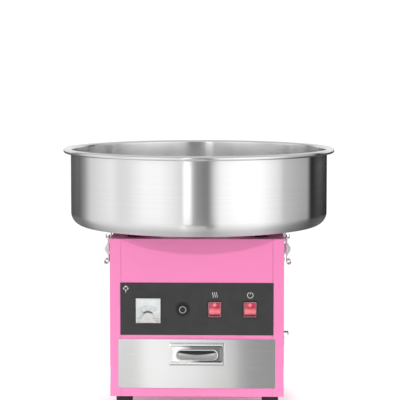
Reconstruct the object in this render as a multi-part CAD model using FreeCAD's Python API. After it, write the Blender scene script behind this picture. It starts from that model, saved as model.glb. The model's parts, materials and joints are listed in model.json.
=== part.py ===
"""Cotton candy machine: a free-standing sheet-metal cabinet with a motor-driven heated spinner
head inside a wide stainless bowl, a control panel, a drawer and four draw latches.

Millimetres. +Z is up, the front faces -Y, and the origin is on the spinner's axis at the floor.
Every piece is written as one STEP file in the folder parts.
"""
import FreeCAD
import Part
import math
import os

# ---------------------------------------------------------------- driving dimensions
SHEET = 1.2                  # cabinet sheet thickness
HALF = 160.0                 # half of the cabinet's width and depth
FLOOR_GAP = 40.0             # height of the feet, and so of the cabinet's underside
CABINET_TOP = 332.0
STILE = 20.5                 # width of the cabinet's front corner posts
SEAM = 0.4                   # gap between two cabinet sheets that meet edge to edge
FLANGE = 12.0                # width of the folded inner flanges

BOWL_BASE = 343.0            # underside of the bowl
BOWL_TOP = 490.0             # top of the bowl's rolled rim
BOWL_R = 246.0               # outer radius of the bowl's wall
BOWL_SHEET = 1.0
BOWL_CORNER = 25.0
BEAD_R = 4.2                 # radius of the rolled rim's section
RIM_R = 260.0                # outermost radius of the rolled rim
BOWL_HOLE_R = 95.0
BOWL_LIP_TOP = 356.0         # top of the upturned lip around the bowl's centre hole

PANEL_HALF = 140.7           # half width of the control panel
PANEL_LOW = 154.4
PANEL_HIGH = 251.3
PANEL_THICK = 1.0

OPENING_LOW = 60.0           # drawer opening in the cabinet's front
OPENING_HIGH = 143.0
DRAWER_HALF = 144.6          # half width of the drawer's front
DRAWER_LOW = 55.6
DRAWER_HIGH = 147.0
DRAWER_GAP = 0.5             # between the drawer's front and the cabinet
DRAWER_FRONT = 1.5
BOX_HALF = 135.0             # half width of the drawer box
BOX_BACK = 80.0
BOX_LOW = 60.4
BOX_HIGH = 138.0
BOX_SHEET = 1.0

HANDLE_HALF = 51.7
HANDLE_LOW = 98.3
HANDLE_HIGH = 140.6
HANDLE_PLATE = 1.0
SLOT_HALF = 37.2             # half length of the handle's rounded finger slot
SLOT_LOW = 109.0
SLOT_HIGH = 125.7
CUP_DEPTH = 13.0
CUP_WALL = 1.0

METER_X = -89.4
METER_Z = 199.7
METER_HALF = 22.5            # a 45 mm square panel meter
METER_BODY_R = 19.0
METER_FLANGE = 3.0
METER_DEPTH = 36.0
COVER_DEPTH = 7.0
COVER_WALL = 1.4
DIAL_THICK = 0.6
NEEDLE_Z = METER_Z - 12.0    # height of the needle's pivot
NEEDLE_LENGTH = 19.0
NEEDLE_REST = 45.0           # degrees from upright, towards the left stop
FUSE_X = -25.8
FUSE_Z = 202.4
FUSE_BODY_R = 8.0
FUSE_BORE_R = 6.2
FUSE_FLANGE_R = 12.5
FUSE_CAP_R = 7.5
SWITCH_X = {"heat": 32.9, "power": 97.7}
SWITCH_Z = 202.1
BEZEL_HALF_X = 12.75
BEZEL_HALF_Z = 15.5
BEZEL_THICK = 2.0
HOUSING_HALF_X = 12.3
HOUSING_HALF_Z = 14.9
HOUSING_DEPTH = 22.0
ROCKER_HALF_X = 11.0
ROCKER_GAP = 0.3
ROCKER_R = 14.0              # radius of the rocker's rounded ends about its pivot
ROCKER_PIVOT = 4.0           # depth of the pivot behind the control panel's face
ROCKER_TILT = 10.0           # degrees, top pressed in
PEG_R = 1.5                  # pegs on which the rocker turns

LATCH_Y = 100.0              # distance of each latch from the middle of the side
PIVOT_X = 166.0
PIVOT_Z = 311.0
CRANK = 7.0                  # from the lever's pivot down to the bail's pivot
BAIL_LENGTH = 25.8
BAIL_WIRE_R = 1.5
BAIL_HALF = 13.5             # half width of the bail, to the wire's centre
PIN_R = 2.0
RUNNING = 0.06               # radial clearance of a pin in its running hole
BASE_LOW = 281.0             # the latch's base plate
BASE_HIGH = 319.0
EAR_INNER = 8.0              # half the clear width between the base plate's ears
EAR_REACH = 4.0              # the ears run this far past the pin, outwards
EAR_HALF = 5.0               # half height of an ear
CHEEK_INNER = 10.0           # half the clear width between the lever's cheeks
KNEE_OUT = 6.0               # from the pivot out to the lever's web
KNEE_Z = 305.0               # the lever's web bends in below here
HEEL_Z = 295.0
CURL_R = 4.6
CURL_X = 170.2               # centre of the lever's rolled finger end
CURL_Z = 283.0
LIP_X = 170.6                # inner face of the keeper's outer lip
LIP_TOP = 333.0
KEEPER_SHEET = 1.2
KEEPER_HALF = 8.0
KEEPER_LOW = 326.8
KEEPER_END = 146.0           # inner end of the keeper's flange under the bowl

HOOK_Y = -100.0              # the scoop's hook on the right side
HOOK_HALF = 6.0
HOOK_LOW = 124.0
HOOK_TOP = 151.0
HOOK_REACH = 10.0
HOOK_TIP = 145.0

RIVET_R = 2.0
RIVET_HEAD_R = 3.6
RIVET_TAIL_R = 2.6
RIVET_HEAD = 1.2
HOOK_RIVETS_Z = (130.0, 139.0)
LATCH_RIVETS_Z = (287.0, 299.0)
KEEPER_RIVET_X = 152.0
KEEPER_RIVET_SPREAD = 4.5

SCREW_R = 2.0
SCREW_HEAD_R = 3.8
SCREW_HEAD = 2.2
SCREW_LENGTH = 8.0
SCREW_INSET = 8.0
SCREW_MIDDLE_Z = 190.0       # height of the back panel's middle pair of screws
CROSS_HALF = 0.5             # half width of a cross recess's arm
CROSS_ARM = 2.0
CROSS_DEEP = 1.2

LOUVRE_X = 60.0              # middle of each block of louvres
LOUVRE_HALF = 30.0
LOUVRE_LOW = 225.0
LOUVRE_SLOT = 4.0
LOUVRE_PITCH = 11.0
LOUVRE_HOOD = 4.0            # how far a hood stands out of the back
LOUVRE_ROWS = 6

GLAND_X = -110.0
GLAND_Z = 182.0
GLAND_BORE_R = 4.2
GLAND_THREAD_R = 7.9
GLAND_ACROSS = 22.0          # across the flats of the gland and its nut
GLAND_FLANGE = 6.0
GLAND_DOME = 13.0

DECK_TOP = 150.0             # the motor stands on this deck
DECK_HALF_Y = 150.0
DECK_FOLD = 8.0
MOTOR_R = 55.0
MOTOR_TOP = 262.0
MOTOR_WALL = 2.0
MOTOR_FLANGE = 62.0          # half width of the motor's square foot
MOTOR_BOLT = 55.0
MOTOR_BOLT_R = 2.5
END_PLATE = 3.0
VENT_LOW = 238.0
VENT_HIGH = 254.0
CORE_LOW = 178.0             # stator and rotor stacks
CORE_HIGH = 230.0
ROTOR_R = 37.0
STATOR_INNER = 37.5
FAN_R = 46.0
FAN_LOW = 236.0
FAN_DISC = 2.0
FAN_TOP = 249.0
FAN_HUB_R = 22.0
SHAFT_R = 6.0
SHAFT_TOP = 392.0
BEARING_R = 14.0
BEARING_H = 9.0
RING_R = 14.0                # slip rings
RING_WALL = 3.0
RING_H = 6.0
RING_HEIGHTS = (279.0, 291.0)
SLIP_LOW = 276.0
SLIP_HIGH = 300.0

HEAD_BASE = 372.0
HEAD_R = 72.0
HEAD_WALL = 2.0
HEAD_RIM = 8.0               # height of the head base's rim
HUB_R = 13.0
HUB_DROP = 12.0              # the hub below and above the head's base
HUB_RISE = 6.0
HEAD_NUT_H = 9.0
ELEMENT_R = 58.0
ELEMENT_ROD_R = 3.2
ELEMENT_UP = 16.0            # height of the element above the head's base
POST_R = 2.0
BAND_R = 68.0
BAND_WALL = 1.0
BAND_SLOTS = 48
COVER_LOW = 408.0
COVER_R = 75.0
COVER_SHEET = 1.5
COVER_SKIRT = 7.0
FUNNEL_R = 24.0
FUNNEL_FLARE = 8.0
FUNNEL_TOP = 424.0
HEAD_SCREW_AT = 42.0

FOOT_AT = 135.0
FOOT_TOP_R = 16.0
FOOT_LOW_R = 13.0
FOOT_BOLT_R = 3.0
FOOT_POCKET_R = 7.5
FOOT_POCKET_H = 20.0
FOOT_HEAD_H = 4.0            # height of the bolt's head at the end of the pocket
FOOT_NUT_H = 5.0
PAD_R = 12.0
PAD_AT = 118.0

GUARD_R = 80.0               # the splash guard round the shaft
GUARD_TOP_R = 26.0
GUARD_HOLE_R = 15.0
GUARD_HIGH = 18.0

SMALL = 1.0                  # how far a cutting tool runs past the face that it cuts
PAST = 5.0                   # the same, where there is room

FRONT = -HALF                # Y of the cabinet's front face
INNER = HALF - SHEET         # inside face of the cabinet's sheets
PANEL_FACE = FRONT - PANEL_THICK
DRAWER_BACK_FACE = FRONT - DRAWER_GAP
DRAWER_FACE = DRAWER_BACK_FACE - DRAWER_FRONT
CUP_BACK = DRAWER_BACK_FACE + CUP_DEPTH
CHEEK_OUTER = CHEEK_INNER + SHEET
SEAT_R = BEARING_R + 4.0
BELL_TOP = MOTOR_TOP + END_PLATE

os.makedirs("parts", exist_ok=True)


# ---------------------------------------------------------------- helpers
def vec(x, y, z):
    return FreeCAD.Vector(x, y, z)


def box(x0, x1, y0, y1, z0, z1):
    return Part.makeBox(x1 - x0, y1 - y0, z1 - z0, vec(x0, y0, z0))


def cyl_x(radius, x0, x1, y, z):
    return Part.makeCylinder(radius, x1 - x0, vec(x0, y, z), vec(1, 0, 0))


def cyl_y(radius, y0, y1, x, z):
    return Part.makeCylinder(radius, y1 - y0, vec(x, y0, z), vec(0, 1, 0))


def cyl_z(radius, z0, z1, x=0.0, y=0.0):
    return Part.makeCylinder(radius, z1 - z0, vec(x, y, z0), vec(0, 0, 1))


def ring_z(outer, inner, z0, z1, x=0.0, y=0.0):
    return cyl_z(outer, z0, z1, x, y).cut(cyl_z(inner, z0 - SMALL, z1 + SMALL, x, y))


def ring_y(outer, inner, y0, y1, x, z):
    return cyl_y(outer, y0, y1, x, z).cut(cyl_y(inner, y0 - SMALL, y1 + SMALL, x, z))


def hexagon_z(across, z0, z1, x=0.0, y=0.0):
    corner = across / 2 / math.cos(math.pi / 6)
    points = []
    for step in range(7):
        turn = step * math.pi / 3
        points.append(vec(x + corner * math.cos(turn), y + corner * math.sin(turn), z0))
    return Part.Face(Part.makePolygon(points)).extrude(vec(0, 0, z1 - z0))


def hexagon_y(across, y0, y1, x, z):
    blank = hexagon_z(across, 0, y1 - y0)
    blank.rotate(vec(0, 0, 0), vec(1, 0, 0), -90)
    blank.translate(vec(x, y0, z))
    return blank


def turned(points):
    """A solid of revolution about the spinner's axis from (radius, height) points."""
    corners = [vec(r, 0, z) for r, z in points]
    outline = Part.makePolygon(corners + corners[:1])
    return Part.Face(outline).revolve(vec(0, 0, 0), vec(0, 0, 1), 360)


def slab_xz(points, y0, y1):
    """A plate cut to an outline in the XZ plane, between two Y values."""
    corners = [vec(x, y0, z) for x, z in points]
    outline = Part.makePolygon(corners + corners[:1])
    return Part.Face(outline).extrude(vec(0, y1 - y0, 0))


def stadium_y(half_length, low, high, y0, y1):
    """A bar with rounded ends, long in X, between two heights and two Y values."""
    radius = (high - low) / 2
    middle = (high + low) / 2
    straight = half_length - radius
    shape = box(-straight, straight, y0, y1, low, high)
    for side in (-1, 1):
        shape = shape.fuse(cyl_y(radius, y0, y1, side * straight, middle))
    return shape.removeSplitter()


def joined(shapes):
    result = shapes[0].multiFuse(shapes[1:])
    return result.removeSplitter()


def mirrored(shape):
    return shape.mirror(vec(0, 0, 0), vec(1, 0, 0))


def rounded(shape, radius, chosen):
    """Rounds the edges that the test picks out."""
    edges = [edge for edge in shape.Edges if chosen(edge)]
    return shape.makeFillet(radius, edges)


def upright_at(x, y):
    """A test for straight vertical edges at one corner."""
    near = 0.01

    def chosen(edge):
        centre = edge.BoundBox.Center
        return edge.BoundBox.ZLength > SMALL and abs(centre.x - x) < near and abs(centre.y - y) < near
    return chosen


def side_box(side, x0, x1, y0, y1, z0, z1):
    """A box between two distances from the middle, on the right (1) or on the left (-1)."""
    near = min(side * x0, side * x1)
    far = max(side * x0, side * x1)
    return box(near, far, y0, y1, z0, z1)


def four_corners(reach):
    """The four points at this distance in X and in Y from the spinner's axis."""
    return [(x, y) for x in (-reach, reach) for y in (-reach, reach)]


def around(shape, count):
    """Copies of a shape at equal steps about the spinner's axis."""
    copies = []
    for step in range(count):
        copy = shape.copy()
        copy.rotate(vec(0, 0, 0), vec(0, 0, 1), step * 360.0 / count)
        copies.append(copy)
    return copies


def save(name, shapes):
    group = shapes if isinstance(shapes, list) else [shapes]
    solids = []
    for shape in group:
        solids.extend(shape.Solids)
    whole = solids[0] if len(solids) == 1 else Part.makeCompound(solids)
    for solid in solids:
        assert solid.isValid() and solid.Volume > 0, name
    whole.exportStep("parts/" + name + ".step")


# ---------------------------------------------------------------- rivets and screws
def side_rivet(y, z, outer):
    """A rivet through the right side sheet and a fitting whose outer face is at X outer."""
    shank = cyl_x(RIVET_R, INNER - RIVET_HEAD, outer + RIVET_HEAD, y, z)
    tail = cyl_x(RIVET_TAIL_R, INNER - RIVET_HEAD, INNER, y, z)
    head = cyl_x(RIVET_HEAD_R, outer, outer + RIVET_HEAD, y, z)
    return joined([shank, tail, head])


def bowl_rivet(x, y):
    """A rivet through the bowl's floor and a keeper's flange under it."""
    flange_low = BOWL_BASE - KEEPER_SHEET
    top = BOWL_BASE + BOWL_SHEET
    shank = cyl_z(RIVET_R, flange_low - RIVET_HEAD, top + RIVET_HEAD, x, y)
    tail = cyl_z(RIVET_TAIL_R, flange_low - RIVET_HEAD, flange_low, x, y)
    head = cyl_z(RIVET_HEAD_R, top, top + RIVET_HEAD, x, y)
    return joined([shank, tail, head])


def make_rivets():
    right = []
    keepers = []
    for side in (-1, 1):
        y = side * LATCH_Y
        for z in LATCH_RIVETS_Z:
            right.append(side_rivet(y, z, HALF + SHEET))
        for spread in (-KEEPER_RIVET_SPREAD, KEEPER_RIVET_SPREAD):
            keepers.append(bowl_rivet(KEEPER_RIVET_X, y + spread))
    left = [mirrored(rivet) for rivet in right]
    left_keepers = [mirrored(rivet) for rivet in keepers]
    hook = [side_rivet(HOOK_Y, z, HALF + SHEET) for z in HOOK_RIVETS_Z]
    return right + left + keepers + left_keepers + hook


RIVETS = make_rivets()
RIVET_HOLES = Part.makeCompound(RIVETS)


def back_screw(x, z):
    """A domed screw with a cross recess, in the back panel."""
    top = HALF + SCREW_HEAD
    dome = 1.2
    shank = cyl_y(SCREW_R, HALF - SCREW_LENGTH, HALF, x, z)
    head = cyl_y(SCREW_HEAD_R, HALF, top, x, z)
    head = rounded(head, dome, lambda edge: edge.BoundBox.YMin > HALF + SMALL and edge.Length > PAST)
    across = box(x - CROSS_ARM, x + CROSS_ARM, top - CROSS_DEEP, top + SMALL, z - CROSS_HALF, z + CROSS_HALF)
    upright = box(x - CROSS_HALF, x + CROSS_HALF, top - CROSS_DEEP, top + SMALL, z - CROSS_ARM, z + CROSS_ARM)
    return shank.fuse(head).cut(upright.fuse(across)).removeSplitter()


def back_screw_points():
    """Six screws round the back panel's corners and middle, and two on its sides."""
    edge = HALF - SCREW_INSET
    points = []
    for x in (-edge, 0.0, edge):
        points.append((x, FLOOR_GAP + SCREW_INSET))
        points.append((x, CABINET_TOP - SCREW_INSET))
    for x in (-edge, edge):
        points.append((x, SCREW_MIDDLE_Z))
    return points


SCREWS = [back_screw(x, z) for x, z in back_screw_points()]
SCREW_HOLES = Part.makeCompound(SCREWS)


# ---------------------------------------------------------------- cabinet
def side_panel():
    """The right side: one sheet folded round the front as a corner post and in at the back."""
    fold_r = 2.0
    flange_back = INNER
    face = box(INNER, HALF, FRONT, HALF, FLOOR_GAP, CABINET_TOP)
    post = box(HALF - STILE, HALF, FRONT, FRONT + SHEET, FLOOR_GAP, CABINET_TOP)
    flange = box(HALF - FLANGE, INNER, flange_back - SHEET, flange_back, FLOOR_GAP, CABINET_TOP)
    return rounded(joined([face, post, flange]), fold_r, upright_at(HALF, FRONT))


def make_cabinet():
    right = side_panel()
    left = mirrored(right)
    save("right_side_panel", right.cut(RIVET_HOLES).cut(SCREW_HOLES))
    save("left_side_panel", left.cut(RIVET_HOLES).cut(SCREW_HOLES))

    strip_half = HALF - STILE - SEAM
    floor = box(-INNER, INNER, -INNER, INNER, FLOOR_GAP, FLOOR_GAP + SHEET)
    strip = box(-strip_half, strip_half, FRONT, -INNER, FLOOR_GAP, OPENING_LOW)
    folds = []
    for side in (-1, 1):
        folds.append(side_box(side, INNER - SHEET, INNER, -INNER + FLANGE, INNER - 2 * SHEET,
                              FLOOR_GAP, FLOOR_GAP + FLANGE))
    pan = joined([floor, strip] + folds)
    for x, y in four_corners(FOOT_AT):
        pan = pan.cut(cyl_z(FOOT_BOLT_R, FLOOR_GAP - SMALL, FLOOR_GAP + PAST, x, y))
    for side in (-1, 1):
        pan = pan.cut(side_box(side, HALF - FLANGE, INNER, INNER - SHEET, INNER,
                               FLOOR_GAP - SMALL, FLOOR_GAP + PAST))
    save("base_pan", pan.cut(SCREW_HOLES))

    front = box(-strip_half, strip_half, FRONT, -INNER, OPENING_HIGH, CABINET_TOP)
    save("front_panel", front.cut(panel_cutouts()))

    collar_hole_r = 24.0
    fold_low = CABINET_TOP - FLANGE
    top = box(-INNER, INNER, -INNER, INNER - 2 * SHEET, CABINET_TOP - SHEET, CABINET_TOP)
    folds = [box(-INNER + FLANGE, INNER - FLANGE, -INNER, -INNER + SHEET, fold_low, CABINET_TOP)]
    for side in (-1, 1):
        folds.append(side_box(side, INNER - SHEET, INNER, -INNER + FLANGE, INNER - FLANGE,
                              fold_low, CABINET_TOP))
    top = joined([top] + folds)
    save("top_plate", top.cut(cyl_z(collar_hole_r, CABINET_TOP - PAST, CABINET_TOP + PAST)))
    make_back_panel()


def louvre_hood(centre, low):
    """A sheet leaning out of the back over one louvre slot."""
    x = centre - LOUVRE_HALF
    drop = 0.5
    top = low + LOUVRE_SLOT
    outline = [vec(x, HALF, top), vec(x, HALF, top + SHEET),
               vec(x, HALF + LOUVRE_HOOD, low + drop + SHEET), vec(x, HALF + LOUVRE_HOOD, low + drop)]
    face = Part.Face(Part.makePolygon(outline + outline[:1]))
    return face.extrude(vec(2 * LOUVRE_HALF, 0, 0))


def make_back_panel():
    """The back: a flat sheet with two blocks of louvres and the hole for the cable gland."""
    back = box(-INNER, INNER, INNER, HALF, FLOOR_GAP, CABINET_TOP)
    hoods = []
    for centre in (-LOUVRE_X, LOUVRE_X):
        for row in range(LOUVRE_ROWS):
            low = LOUVRE_LOW + row * LOUVRE_PITCH
            back = back.cut(box(centre - LOUVRE_HALF, centre + LOUVRE_HALF, INNER - SMALL, HALF + SMALL,
                                low, low + LOUVRE_SLOT))
            hoods.append(louvre_hood(centre, low))
    back = joined([back] + hoods)
    back = back.cut(cyl_y(GLAND_THREAD_R, INNER - SMALL, HALF + SMALL, GLAND_X, GLAND_Z))
    save("back_panel", back.cut(SCREW_HOLES))


# ---------------------------------------------------------------- deck, feet, pads
def make_deck_and_feet():
    deck_low = DECK_TOP - SHEET
    parts = [box(-INNER, INNER, -DECK_HALF_Y, DECK_HALF_Y, deck_low, DECK_TOP)]
    for side in (-1, 1):
        parts.append(side_box(side, INNER - SHEET, INNER, -DECK_HALF_Y + FLANGE, DECK_HALF_Y - FLANGE,
                              deck_low - DECK_FOLD, DECK_TOP))
    deck = joined(parts)
    for x, y in four_corners(MOTOR_BOLT):
        deck = deck.cut(cyl_z(MOTOR_BOLT_R, DECK_TOP - PAST, DECK_TOP + PAST, x, y))
    save("motor_deck", deck.cut(RIVET_HOLES))

    sole_r = 1.5
    head_r = FOOT_POCKET_R - 1.5
    head_low = FOOT_POCKET_H - FOOT_HEAD_H
    nut_across = 10.0
    nut_low = FLOOR_GAP + SHEET
    nut_top = nut_low + FOOT_NUT_H
    thread_end = nut_top + 2.0
    feet = []
    bolts = []
    for x, y in four_corners(FOOT_AT):
        foot = Part.makeCone(FOOT_LOW_R, FOOT_TOP_R, FLOOR_GAP, vec(x, y, 0))
        foot = rounded(foot, sole_r, lambda edge: edge.BoundBox.ZMax < SMALL and edge.Length > SMALL)
        foot = foot.cut(cyl_z(FOOT_POCKET_R, -SMALL, FOOT_POCKET_H, x, y))
        foot = foot.cut(cyl_z(FOOT_BOLT_R, -SMALL, FLOOR_GAP + SMALL, x, y))
        feet.append(foot)
        head = cyl_z(head_r, head_low, FOOT_POCKET_H, x, y)
        shank = cyl_z(FOOT_BOLT_R, head_low, thread_end, x, y)
        nut = hexagon_z(nut_across, nut_low, nut_top, x, y)
        bolts.append(joined([head, shank, nut]))
    save("rubber_feet", feet)
    save("foot_bolts", bolts)
    save("bowl_pads", [cyl_z(PAD_R, CABINET_TOP, BOWL_BASE, x, y) for x, y in four_corners(PAD_AT)])

    high = CABINET_TOP + GUARD_HIGH
    foot_inner_r = GUARD_R - 7.0
    guard = turned([(GUARD_R, CABINET_TOP), (GUARD_R, CABINET_TOP + SHEET), (GUARD_TOP_R, high),
                    (GUARD_HOLE_R, high), (GUARD_HOLE_R, high - SHEET),
                    (GUARD_TOP_R - 0.5, high - SHEET), (foot_inner_r, CABINET_TOP)])
    save("shaft_guard", guard)


# ---------------------------------------------------------------- control panel
def panel_cutouts():
    """Everything that passes through the control panel and the front panel behind it."""
    y0 = PANEL_FACE - SMALL
    y1 = FRONT + PAST
    slack = 0.5
    cuts = [cyl_y(METER_BODY_R + slack, y0, y1, METER_X, METER_Z),
            cyl_y(FUSE_BODY_R, y0, y1, FUSE_X, FUSE_Z)]
    for x in SWITCH_X.values():
        cuts.append(box(x - HOUSING_HALF_X, x + HOUSING_HALF_X, y0, y1,
                        SWITCH_Z - HOUSING_HALF_Z, SWITCH_Z + HOUSING_HALF_Z))
    return Part.makeCompound(cuts)


def make_meter():
    flange_face = PANEL_FACE - METER_FLANGE
    back = PANEL_FACE + METER_DEPTH
    stud_r = 2.0
    stud_x = 9.0
    stud_end = back + 10.0
    flange = box(METER_X - METER_HALF, METER_X + METER_HALF, flange_face, PANEL_FACE,
                 METER_Z - METER_HALF, METER_Z + METER_HALF)
    can = cyl_y(METER_BODY_R, PANEL_FACE, back, METER_X, METER_Z)
    studs = [cyl_y(stud_r, back, stud_end, METER_X + x, METER_Z) for x in (-stud_x, stud_x)]
    save("meter_case", joined([flange, can] + studs))

    inner = METER_HALF - COVER_WALL
    dial_half = inner - 0.6
    dial_low = METER_Z - 14.0
    dial_face = flange_face - DIAL_THICK
    save("meter_dial", box(METER_X - dial_half, METER_X + dial_half, dial_face, flange_face,
                           dial_low, METER_Z + dial_half))

    cover_face = flange_face - COVER_DEPTH
    edge_r = 1.0
    cover = box(METER_X - METER_HALF, METER_X + METER_HALF, cover_face, flange_face,
                METER_Z - METER_HALF, METER_Z + METER_HALF)
    for edge_x in (METER_X - METER_HALF, METER_X + METER_HALF):
        cover = rounded(cover, edge_r, upright_at(edge_x, cover_face))
    hollow = box(METER_X - inner, METER_X + inner, cover_face + COVER_WALL, flange_face + SMALL,
                 METER_Z - inner, METER_Z + inner)
    save("meter_window", cover.cut(hollow))
    make_needle(dial_face)


def make_needle(dial_face):
    """The needle with its hub and counterweight, just in front of the dial."""
    hub_r = 2.2
    hub_back = dial_face - 0.4
    blade_front = hub_back - 2.2
    blade_back = blade_front + 0.5
    hub_front = blade_front - 0.3
    tip_half = 0.35
    root_half = 0.9
    tail_half = 1.5
    tail = 5.0
    blade = slab_xz([(-tip_half, NEEDLE_LENGTH), (tip_half, NEEDLE_LENGTH), (root_half, 0),
                     (tail_half, -tail), (-tail_half, -tail), (-root_half, 0)], blade_front, blade_back)
    needle = joined([blade, cyl_y(hub_r, hub_front, hub_back, 0, 0)])
    needle.rotate(vec(0, 0, 0), vec(0, 1, 0), -NEEDLE_REST)
    needle.translate(vec(METER_X, 0, NEEDLE_Z))
    save("meter_needle", needle)


def make_fuse():
    flange_face = PANEL_FACE - 2.0
    tube_end = PANEL_FACE + 38.0
    bore_end = PANEL_FACE + 36.0
    nut_across = 20.0
    nut_high = 4.0
    flange = cyl_y(FUSE_FLANGE_R, flange_face, PANEL_FACE, FUSE_X, FUSE_Z)
    tube = cyl_y(FUSE_BODY_R, PANEL_FACE, tube_end, FUSE_X, FUSE_Z)
    nut = hexagon_y(nut_across, -INNER, -INNER + nut_high, FUSE_X, FUSE_Z)
    bore = cyl_y(FUSE_BORE_R, flange_face - SMALL, bore_end, FUSE_X, FUSE_Z)
    save("fuse_holder", joined([flange, tube, nut]).cut(bore))

    gap = 0.3
    cap_back = flange_face - gap
    cap_face = cap_back - 4.5
    stem_end = PANEL_FACE + 20.0
    rim = 2.2
    recess_deep = 1.0
    slot_half_x = 4.0
    slot_half_z = 0.7
    slot_deep = 2.0
    notch_r = 0.8
    notch_at = FUSE_CAP_R + 0.35
    notches = 12
    grip = cyl_y(FUSE_CAP_R, cap_face, cap_back, FUSE_X, FUSE_Z)
    recess = cyl_y(FUSE_CAP_R - rim, cap_face - SMALL, cap_face + recess_deep, FUSE_X, FUSE_Z)
    slot = box(FUSE_X - slot_half_x, FUSE_X + slot_half_x, cap_face, cap_face + slot_deep,
               FUSE_Z - slot_half_z, FUSE_Z + slot_half_z)
    stem = cyl_y(FUSE_BORE_R - gap, cap_back, stem_end, FUSE_X, FUSE_Z)
    cap = joined([grip, stem]).cut(recess).cut(slot)
    for step in range(notches):
        turn = step * 2 * math.pi / notches
        x = FUSE_X + notch_at * math.cos(turn)
        z = FUSE_Z + notch_at * math.sin(turn)
        cap = cap.cut(cyl_y(notch_r, cap_face - SMALL, cap_back - notch_r, x, z))
    save("fuse_cap", cap)


def rocker(x):
    """A rocker with a shallow V face and ends rounded about its pivot."""
    y = PANEL_FACE + ROCKER_PIVOT
    rim = 8.0                 # how far the face's ends stand in front of the pivot
    dip = 6.8                 # and its middle
    back = 3.0
    end = math.sqrt(ROCKER_R ** 2 - rim ** 2)
    base = math.sqrt(ROCKER_R ** 2 - back ** 2)
    left = x - ROCKER_HALF_X
    up = [vec(left, y + back, base), vec(left, y, ROCKER_R), vec(left, y - rim, end)]
    low = [vec(p.x, p.y, -p.z) for p in up]
    middle = vec(left, y - dip, 0)
    edges = [Part.Arc(up[0], up[1], up[2]).toShape(),
             Part.LineSegment(up[2], middle).toShape(),
             Part.LineSegment(middle, low[2]).toShape(),
             Part.Arc(low[2], low[1], low[0]).toShape(),
             Part.LineSegment(low[0], up[0]).toShape()]
    body = Part.Face(Part.Wire(edges)).extrude(vec(2 * ROCKER_HALF_X, 0, 0))
    peg_reach = ROCKER_HALF_X + 1.1
    body = joined([body, cyl_x(PEG_R, x - peg_reach, x + peg_reach, y, 0)])
    body.rotate(vec(x, y, 0), vec(1, 0, 0), -ROCKER_TILT)
    body.translate(vec(0, 0, SWITCH_Z))
    return body


def switch_housing(x):
    """Bezel and body of a rocker switch, hollow for the rocker, with four blades behind."""
    y = PANEL_FACE + ROCKER_PIVOT
    back = PANEL_FACE + HOUSING_DEPTH
    front = PANEL_FACE - BEZEL_THICK
    mouth_half_z = 13.6
    cavity_half_z = 14.4
    cavity_deep = 12.0
    half_x = ROCKER_HALF_X + ROCKER_GAP
    bezel = box(x - BEZEL_HALF_X, x + BEZEL_HALF_X, front, PANEL_FACE,
                SWITCH_Z - BEZEL_HALF_Z, SWITCH_Z + BEZEL_HALF_Z)
    body = box(x - HOUSING_HALF_X, x + HOUSING_HALF_X, PANEL_FACE, back,
               SWITCH_Z - HOUSING_HALF_Z, SWITCH_Z + HOUSING_HALF_Z)
    mouth = box(x - half_x, x + half_x, front - SMALL, PANEL_FACE + SMALL,
                SWITCH_Z - mouth_half_z, SWITCH_Z + mouth_half_z)
    cavity = box(x - half_x, x + half_x, PANEL_FACE, PANEL_FACE + cavity_deep,
                 SWITCH_Z - cavity_half_z, SWITCH_Z + cavity_half_z)
    pivot = cyl_x(PEG_R + RUNNING, x - HOUSING_HALF_X - SMALL, x + HOUSING_HALF_X + SMALL, y, SWITCH_Z)
    shape = joined([bezel, body]).cut(mouth).cut(cavity).cut(pivot)
    blade_x = 5.0
    blade_z = 7.0
    blade_long = 9.0
    blade_half_x = 0.4
    blade_half_z = 3.1
    blades = []
    for bx in (x - blade_x, x + blade_x):
        for bz in (SWITCH_Z - blade_z, SWITCH_Z + blade_z):
            blades.append(box(bx - blade_half_x, bx + blade_half_x, back, back + blade_long,
                              bz - blade_half_z, bz + blade_half_z))
    return joined([shape] + blades)


def make_controls():
    plate = box(-PANEL_HALF, PANEL_HALF, PANEL_FACE, FRONT, PANEL_LOW, PANEL_HIGH)
    save("control_panel", plate.cut(panel_cutouts()))
    make_meter()
    make_fuse()
    save("switch_housings", [switch_housing(x) for x in SWITCH_X.values()])
    for name, x in SWITCH_X.items():
        save(name + "_rocker", rocker(x))


# ---------------------------------------------------------------- drawer
def make_rails():
    """Two C-shaped rails on the cabinet's sides, with the box's edges running inside them."""
    lip = 128.0
    back = 150.0
    front = -INNER + 3.0
    low = BOX_LOW - 0.4
    high = BOX_HIGH + 0.8
    rails = []
    for side in (-1, 1):
        bottom = side_box(side, lip, INNER, front, back, low - SHEET, low)
        top = side_box(side, lip, INNER, front, back, high, high + SHEET)
        web = side_box(side, INNER - SHEET, INNER, front, back, low - SHEET, high + SHEET)
        rails.append(joined([bottom, top, web]).cut(RIVET_HOLES))
    save("drawer_rails", rails)


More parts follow.
